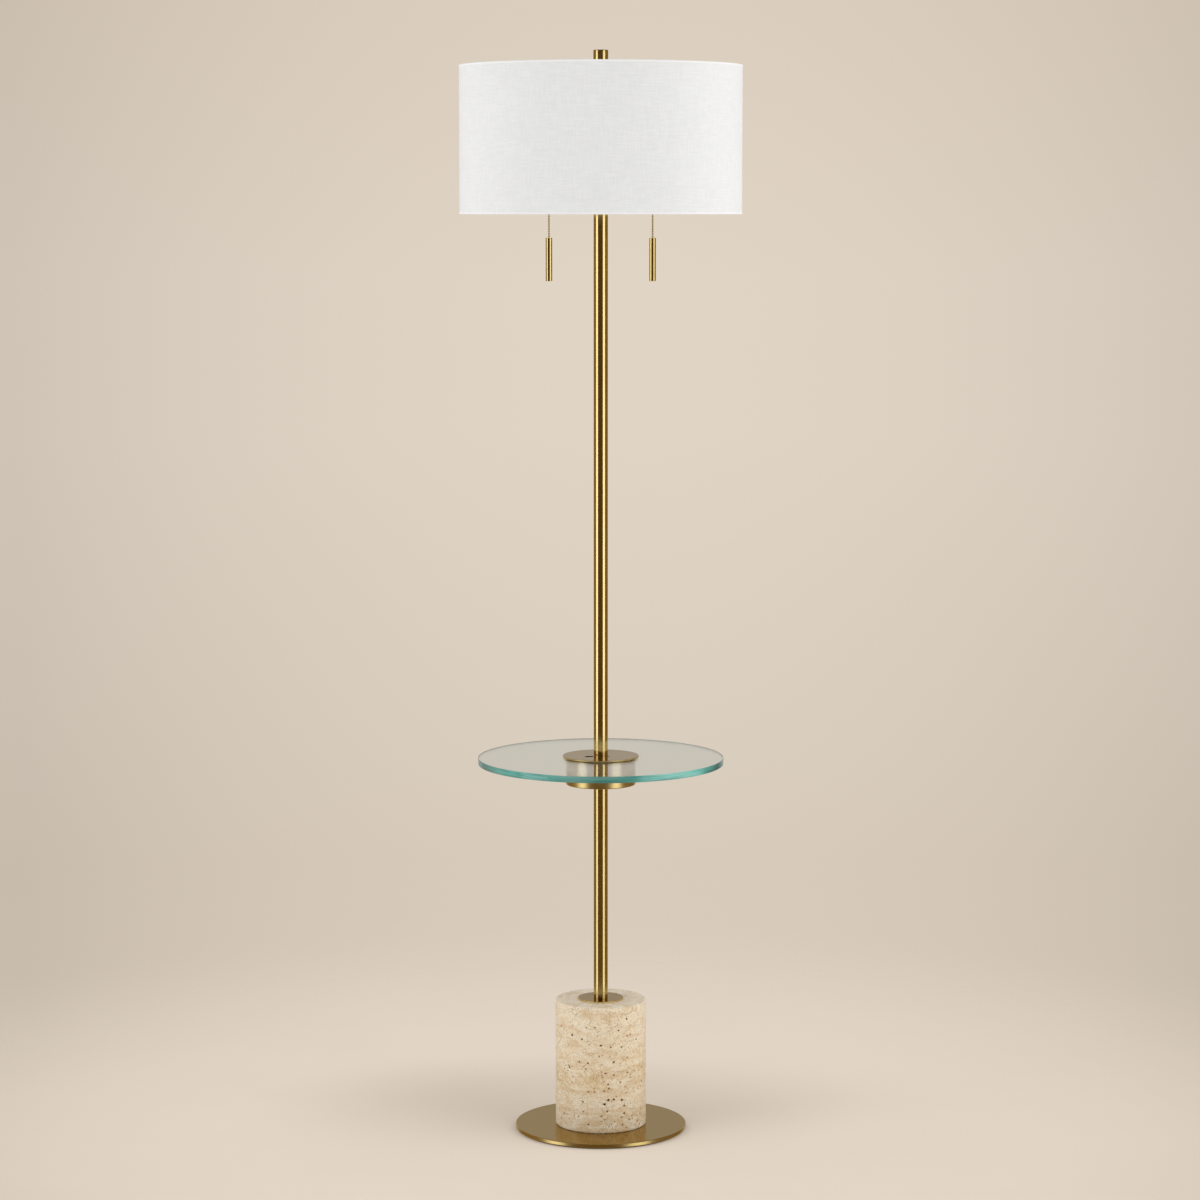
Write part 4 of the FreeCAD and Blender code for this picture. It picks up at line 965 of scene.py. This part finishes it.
def cloth_seam():
    """The lapped seam of the cloth, a flat strip down the back of the shade."""
    inset = TRIM["outside"] + SEAM["short"]
    low, high = SHADE["low"] + inset, SHADE["high"] - inset
    rows, columns = SEAM["rows"], SEAM["columns"]
    bm = bmesh.new()

    def line(z, raised):
        spots = []
        for j in range(columns + 1):
            part = j / columns
            away = min(1.0, 6 * part, 6 * (1 - part))
            out = CLOTH["outer"] + (SEAM["lift"] * sqrt(away) if raised else -SEAM["sunk"])
            angle = pi / 2 + (part - 0.5) * SEAM["width"] / CLOTH["outer"]
            angle += 0.0012 * noise.noise(Vector((0.0, 3.0 * part, z * 0.02)))
            spots.append(Vector((out * cos(angle) * MM, out * sin(angle) * MM, z * MM)))
        return spots

    loops = []
    for i in range(rows + 1):
        z = low + (high - low) * i / rows
        loops.append([bm.verts.new(spot) for spot in line(z, True) + line(z, False)[::-1]])
    for first, second in zip(loops, loops[1:]):
        bridge(bm, first, second)
    for ends in (loops[0], loops[-1]):
        for j in range(columns):
            bm.faces.new((ends[j], ends[j + 1], ends[-2 - j], ends[-1 - j]))
    finished("shade_cloth_seam", bm, "shade", "shade_linen", sharp=50.0)


def shade():
    cloth = shade_sheet("shade_fabric", CLOTH, "shade_linen")
    shade_sheet("shade_liner", LINER, "shade_lining")
    trim_band("shade_top_trim", SHADE["high"], -1)
    trim_band("shade_bottom_trim", SHADE["low"], 1)
    cloth_seam()


# Building the pieces

base_plate()
travertine_block()
flange()
stem_tube("lower_stem", FLANGE["high"], CUP["low"], LATHED_BRASS)
cup()
glass()
clamp_disc()
stem_tube("upper_stem", DISC["high"], STEM["top"], TUBE_BRASS)
finial()
shade()
for side_name, side_sign in SIDES:
    pull_chain(side_name, side_sign)
    pull_bar(side_name, side_sign)

# Studio: the camera and the lights are placed in metres, the floor in millimetres

CAMERA = dict(place=(-0.0012, -5.3006, 1.4338), down=0.1127, lens=103.5, sensor=36.0, near=0.05,
              far=60.0)
LIGHT_AWAY = 6.0
LEFT, RIGHT = -63.5, 52
BELOW, LEVEL, ABOVE = (-3.0, -0.4), (-0.4, 2.1), (2.1, 5.0)
BACKDROP = (0.52, 0.49, 0.46)
BACKDROP_HIGH = (0.56, 0.57, 0.67)
DARK_ROOM = (0.072, 0.038, 0.008)
DARK_LOW = (0.12, 0.066, 0.012)
BROWN_LEFT = (0.19, 0.115, 0.035)
BROWN_RIGHT = (0.17, 0.10, 0.035)
FILL_FRONT = (0.54, 0.54, 0.54)
FILL_LEFT = (1.19, 1.185, 1.18)
FILL_RIGHT = (0.965, 0.96, 0.955)
FILL_ASIDE = (0.74, 0.735, 0.725)
WALL = [(0.23, (0.686, 0.597, 0.497)), (0.30, (0.682, 0.594, 0.494)), (0.42, (0.708, 0.624, 0.521)),
        (0.62, (0.745, 0.658, 0.558)), (0.74, (0.745, 0.658, 0.558)), (0.94, (0.71, 0.618, 0.515))]
FLOOR = dict(radius=3400.0, rings=24, facets=96)
PAPER = ((0.785, 0.688, 0.582), (0.80, 0.702, 0.595))
FLOOR_GLOW = (0.145, 0.127, 0.108)


def photo_camera():
    lens = bpy.data.cameras.new("photo_camera")
    lens.lens = CAMERA["lens"]
    lens.sensor_width = CAMERA["sensor"]
    lens.dof.use_dof = False
    lens.clip_start = CAMERA["near"]
    lens.clip_end = CAMERA["far"]
    camera = new_object("photo_camera", lens)
    camera.location = CAMERA["place"]
    camera.rotation_euler = (pi / 2 - CAMERA["down"], 0, 0)
    bpy.context.scene.camera = camera


def softbox(name, azimuth, width, strip, radiance, tint, mirrored=True):
    """An upright soft light facing the lamp. Azimuth 0 is the camera's side, 90 the right."""
    low, high = strip
    height, middle = high - low, (high + low) / 2
    light = bpy.data.lights.new(name, "AREA")
    light.shape = "RECTANGLE"
    light.size = width
    light.size_y = height
    light.energy = radiance * pi * width * height
    light.color = tint
    turn = radians(azimuth)
    place = Vector((sin(turn) * LIGHT_AWAY, -cos(turn) * LIGHT_AWAY, middle))
    lamp = new_object(name, light)
    lamp.location = place
    aim = Vector((0, 0, middle)) - place
    lamp.rotation_euler = aim.to_track_quat("-Z", "Y").to_euler()
    lamp.visible_camera = False
    lamp.visible_transmission = False
    lamp.visible_glossy = mirrored


def soft_fill(tree, aim, side):
    """What lights the object from all round: dim in front, brighter at the sides."""
    aside = times(tree, aim["X"], aim["X"])
    sides = blend(tree, side, FILL_LEFT, FILL_RIGHT)
    broad = blend(tree, aside, FILL_FRONT, sides)
    far_right = times(tree, calc(tree, "POWER", aside, 3.0), side)
    return blend(tree, far_right, broad, FILL_ASIDE, "ADD")


def mirrored_room(tree, aim, side):
    """What the metal mirrors: a dark room in front, brown sides and the lit wall behind."""
    squares = [times(tree, aim[axis], aim[axis]) for axis in "XY"]
    flat = calc(tree, "SQRT", calc(tree, "ADD", *squares))
    facing = calc(tree, "DIVIDE", aim["Y"], calc(tree, "MAXIMUM", flat, 0.001))
    brown = blend(tree, side, BROWN_LEFT, BROWN_RIGHT)
    dark = blend(tree, remap(tree, aim["Z"], -0.15, -0.21), DARK_ROOM, DARK_LOW)
    room = blend(tree, remap(tree, facing, -0.6, 0.1, smooth=True), dark, brown)
    behind = remap(tree, facing, 0.75, 0.93, smooth=True)
    low = remap(tree, aim["Z"], 0.75, 0.35, smooth=True)
    lit_wall = blend(tree, remap(tree, aim["Z"], 0.19, 0.26), BACKDROP, BACKDROP_HIGH)
    return blend(tree, times(tree, behind, low), room, lit_wall)


def seen_backdrop(tree, aim):
    """The backdrop as the camera sees it, a little darker at both sides."""
    sideways = calc(tree, "DIVIDE", aim["X"], calc(tree, "MAXIMUM", aim["Y"], 0.2))
    off_centre = calc(tree, "SUBTRACT", sideways, 0.01)
    falloff = calc(tree, "MULTIPLY_ADD", times(tree, off_centre, off_centre), -5.0, 1.0)
    wall = ramp(tree, remap(tree, aim["Z"], -0.30, 0.08), WALL)
    return dimmed(tree, wall, calc(tree, "MAXIMUM", falloff, 0.84))


def world():
    """Soft fill for the object, the backdrop's colour behind it, and a dark room before it."""
    made = bpy.data.worlds.new("studio")
    bpy.context.scene.world = made
    made.use_nodes = True
    tree = made.node_tree
    tree.nodes.clear()
    rays = node(tree, "LightPath").outputs
    aim = parts_of(tree, node(tree, "TexCoord").outputs["Generated"])
    side = remap(tree, aim["X"], -0.3, 0.3)
    soft = blend(tree, rays["Is Glossy Ray"], soft_fill(tree, aim, side), mirrored_room(tree, aim, side))
    shown = calc(tree, "MAXIMUM", rays["Is Camera Ray"], rays["Is Transmission Ray"])
    colour = blend(tree, shown, soft, seen_backdrop(tree, aim))
    background = node(tree, "Background", {"Color": colour, "Strength": 1.0})
    out = node(tree, "OutputWorld")
    tree.links.new(background.outputs["Background"], out.inputs["Surface"])


def floor_paper():
    """Pale paper that glows a little, with a painted shadow where the glow dims round the lamp's foot, and
    fades out far from the lamp.
    """
    material, tree, shader = new_material("studio_floor_paper", Roughness=0.9, Specular_IOR_Level=0.1)
    place = object_place(tree)
    mottle = speckle(tree, place, 4.0, 3.0)
    feed(tree, shader, Base_Color=ramp(tree, mottle, list(zip(USUAL, PAPER))))
    rays = node(tree, "LightPath").outputs
    shown = calc(tree, "MAXIMUM", calc(tree, "MAXIMUM", rays["Is Camera Ray"], rays["Is Glossy Ray"]),
                 rays["Is Transmission Ray"])
    # Painted shadow: the glow dims to a quarter in an oval centred a little behind the lamp's foot
    beside = node(tree, "Mapping", {"Vector": place, "Location": (0.06, -0.25, 0.0),
                                    "Scale": (1.0, 1.6, 1.0)}).outputs["Vector"]
    outside_painted_shadow = remap(tree, vector_calc(tree, "LENGTH", beside), 0.12, 0.55, 0.25, 1.0, smooth=True)
    glow = node(tree, "Emission", {"Color": (*FLOOR_GLOW, 1.0),
                                   "Strength": times(tree, shown, outside_painted_shadow)})
    lit = node(tree, "AddShader", {0: shader.outputs["BSDF"], 1: glow.outputs["Emission"]})
    far = remap(tree, vector_calc(tree, "LENGTH", place), 0.5, 1.6, smooth=True)
    fade = calc(tree, "MAXIMUM", far, rays["Is Glossy Ray"])
    clear = node(tree, "BsdfTransparent")
    mixed = node(tree, "MixShader", {0: fade, 1: lit.outputs["Shader"], 2: clear.outputs["BSDF"]})
    tree.links.new(mixed.outputs["Shader"], tree.nodes["Material Output"].inputs["Surface"])
    return material


def floor():
    """A round pale floor that fades into the backdrop, and keeps the lamp's shadow, deepened by a painted
    shadow round its foot.
    """
    rings = FLOOR["rings"]
    outline = [(FLOOR["radius"] * i / rings, 0.0) for i in range(rings, -1, -1)]
    bm = turned_mesh(outline, FLOOR["facets"], closed=False)
    mesh_object("studio_floor", bm, floor_paper())


photo_camera()
softbox("softbox_left", LEFT, 3.3, LEVEL, 1.32, (1.0, 0.995, 0.98))
softbox("softbox_left_low", LEFT, 2.8, BELOW, 1.12, (1.0, 0.995, 0.97))
softbox("softbox_left_high", LEFT, 3.3, ABOVE, 1.32, (1.0, 0.995, 0.98), mirrored=False)
softbox("softbox_right", RIGHT, 3.75, LEVEL, 1.25, (1.0, 0.99, 0.96))
softbox("softbox_right_low", RIGHT, 3.2, BELOW, 1.0, (1.0, 0.985, 0.93))
softbox("softbox_right_high", RIGHT, 3.75, ABOVE, 1.25, (1.0, 0.99, 0.96), mirrored=False)
world()
floor()
bpy.context.scene.view_settings.view_transform = "Standard"
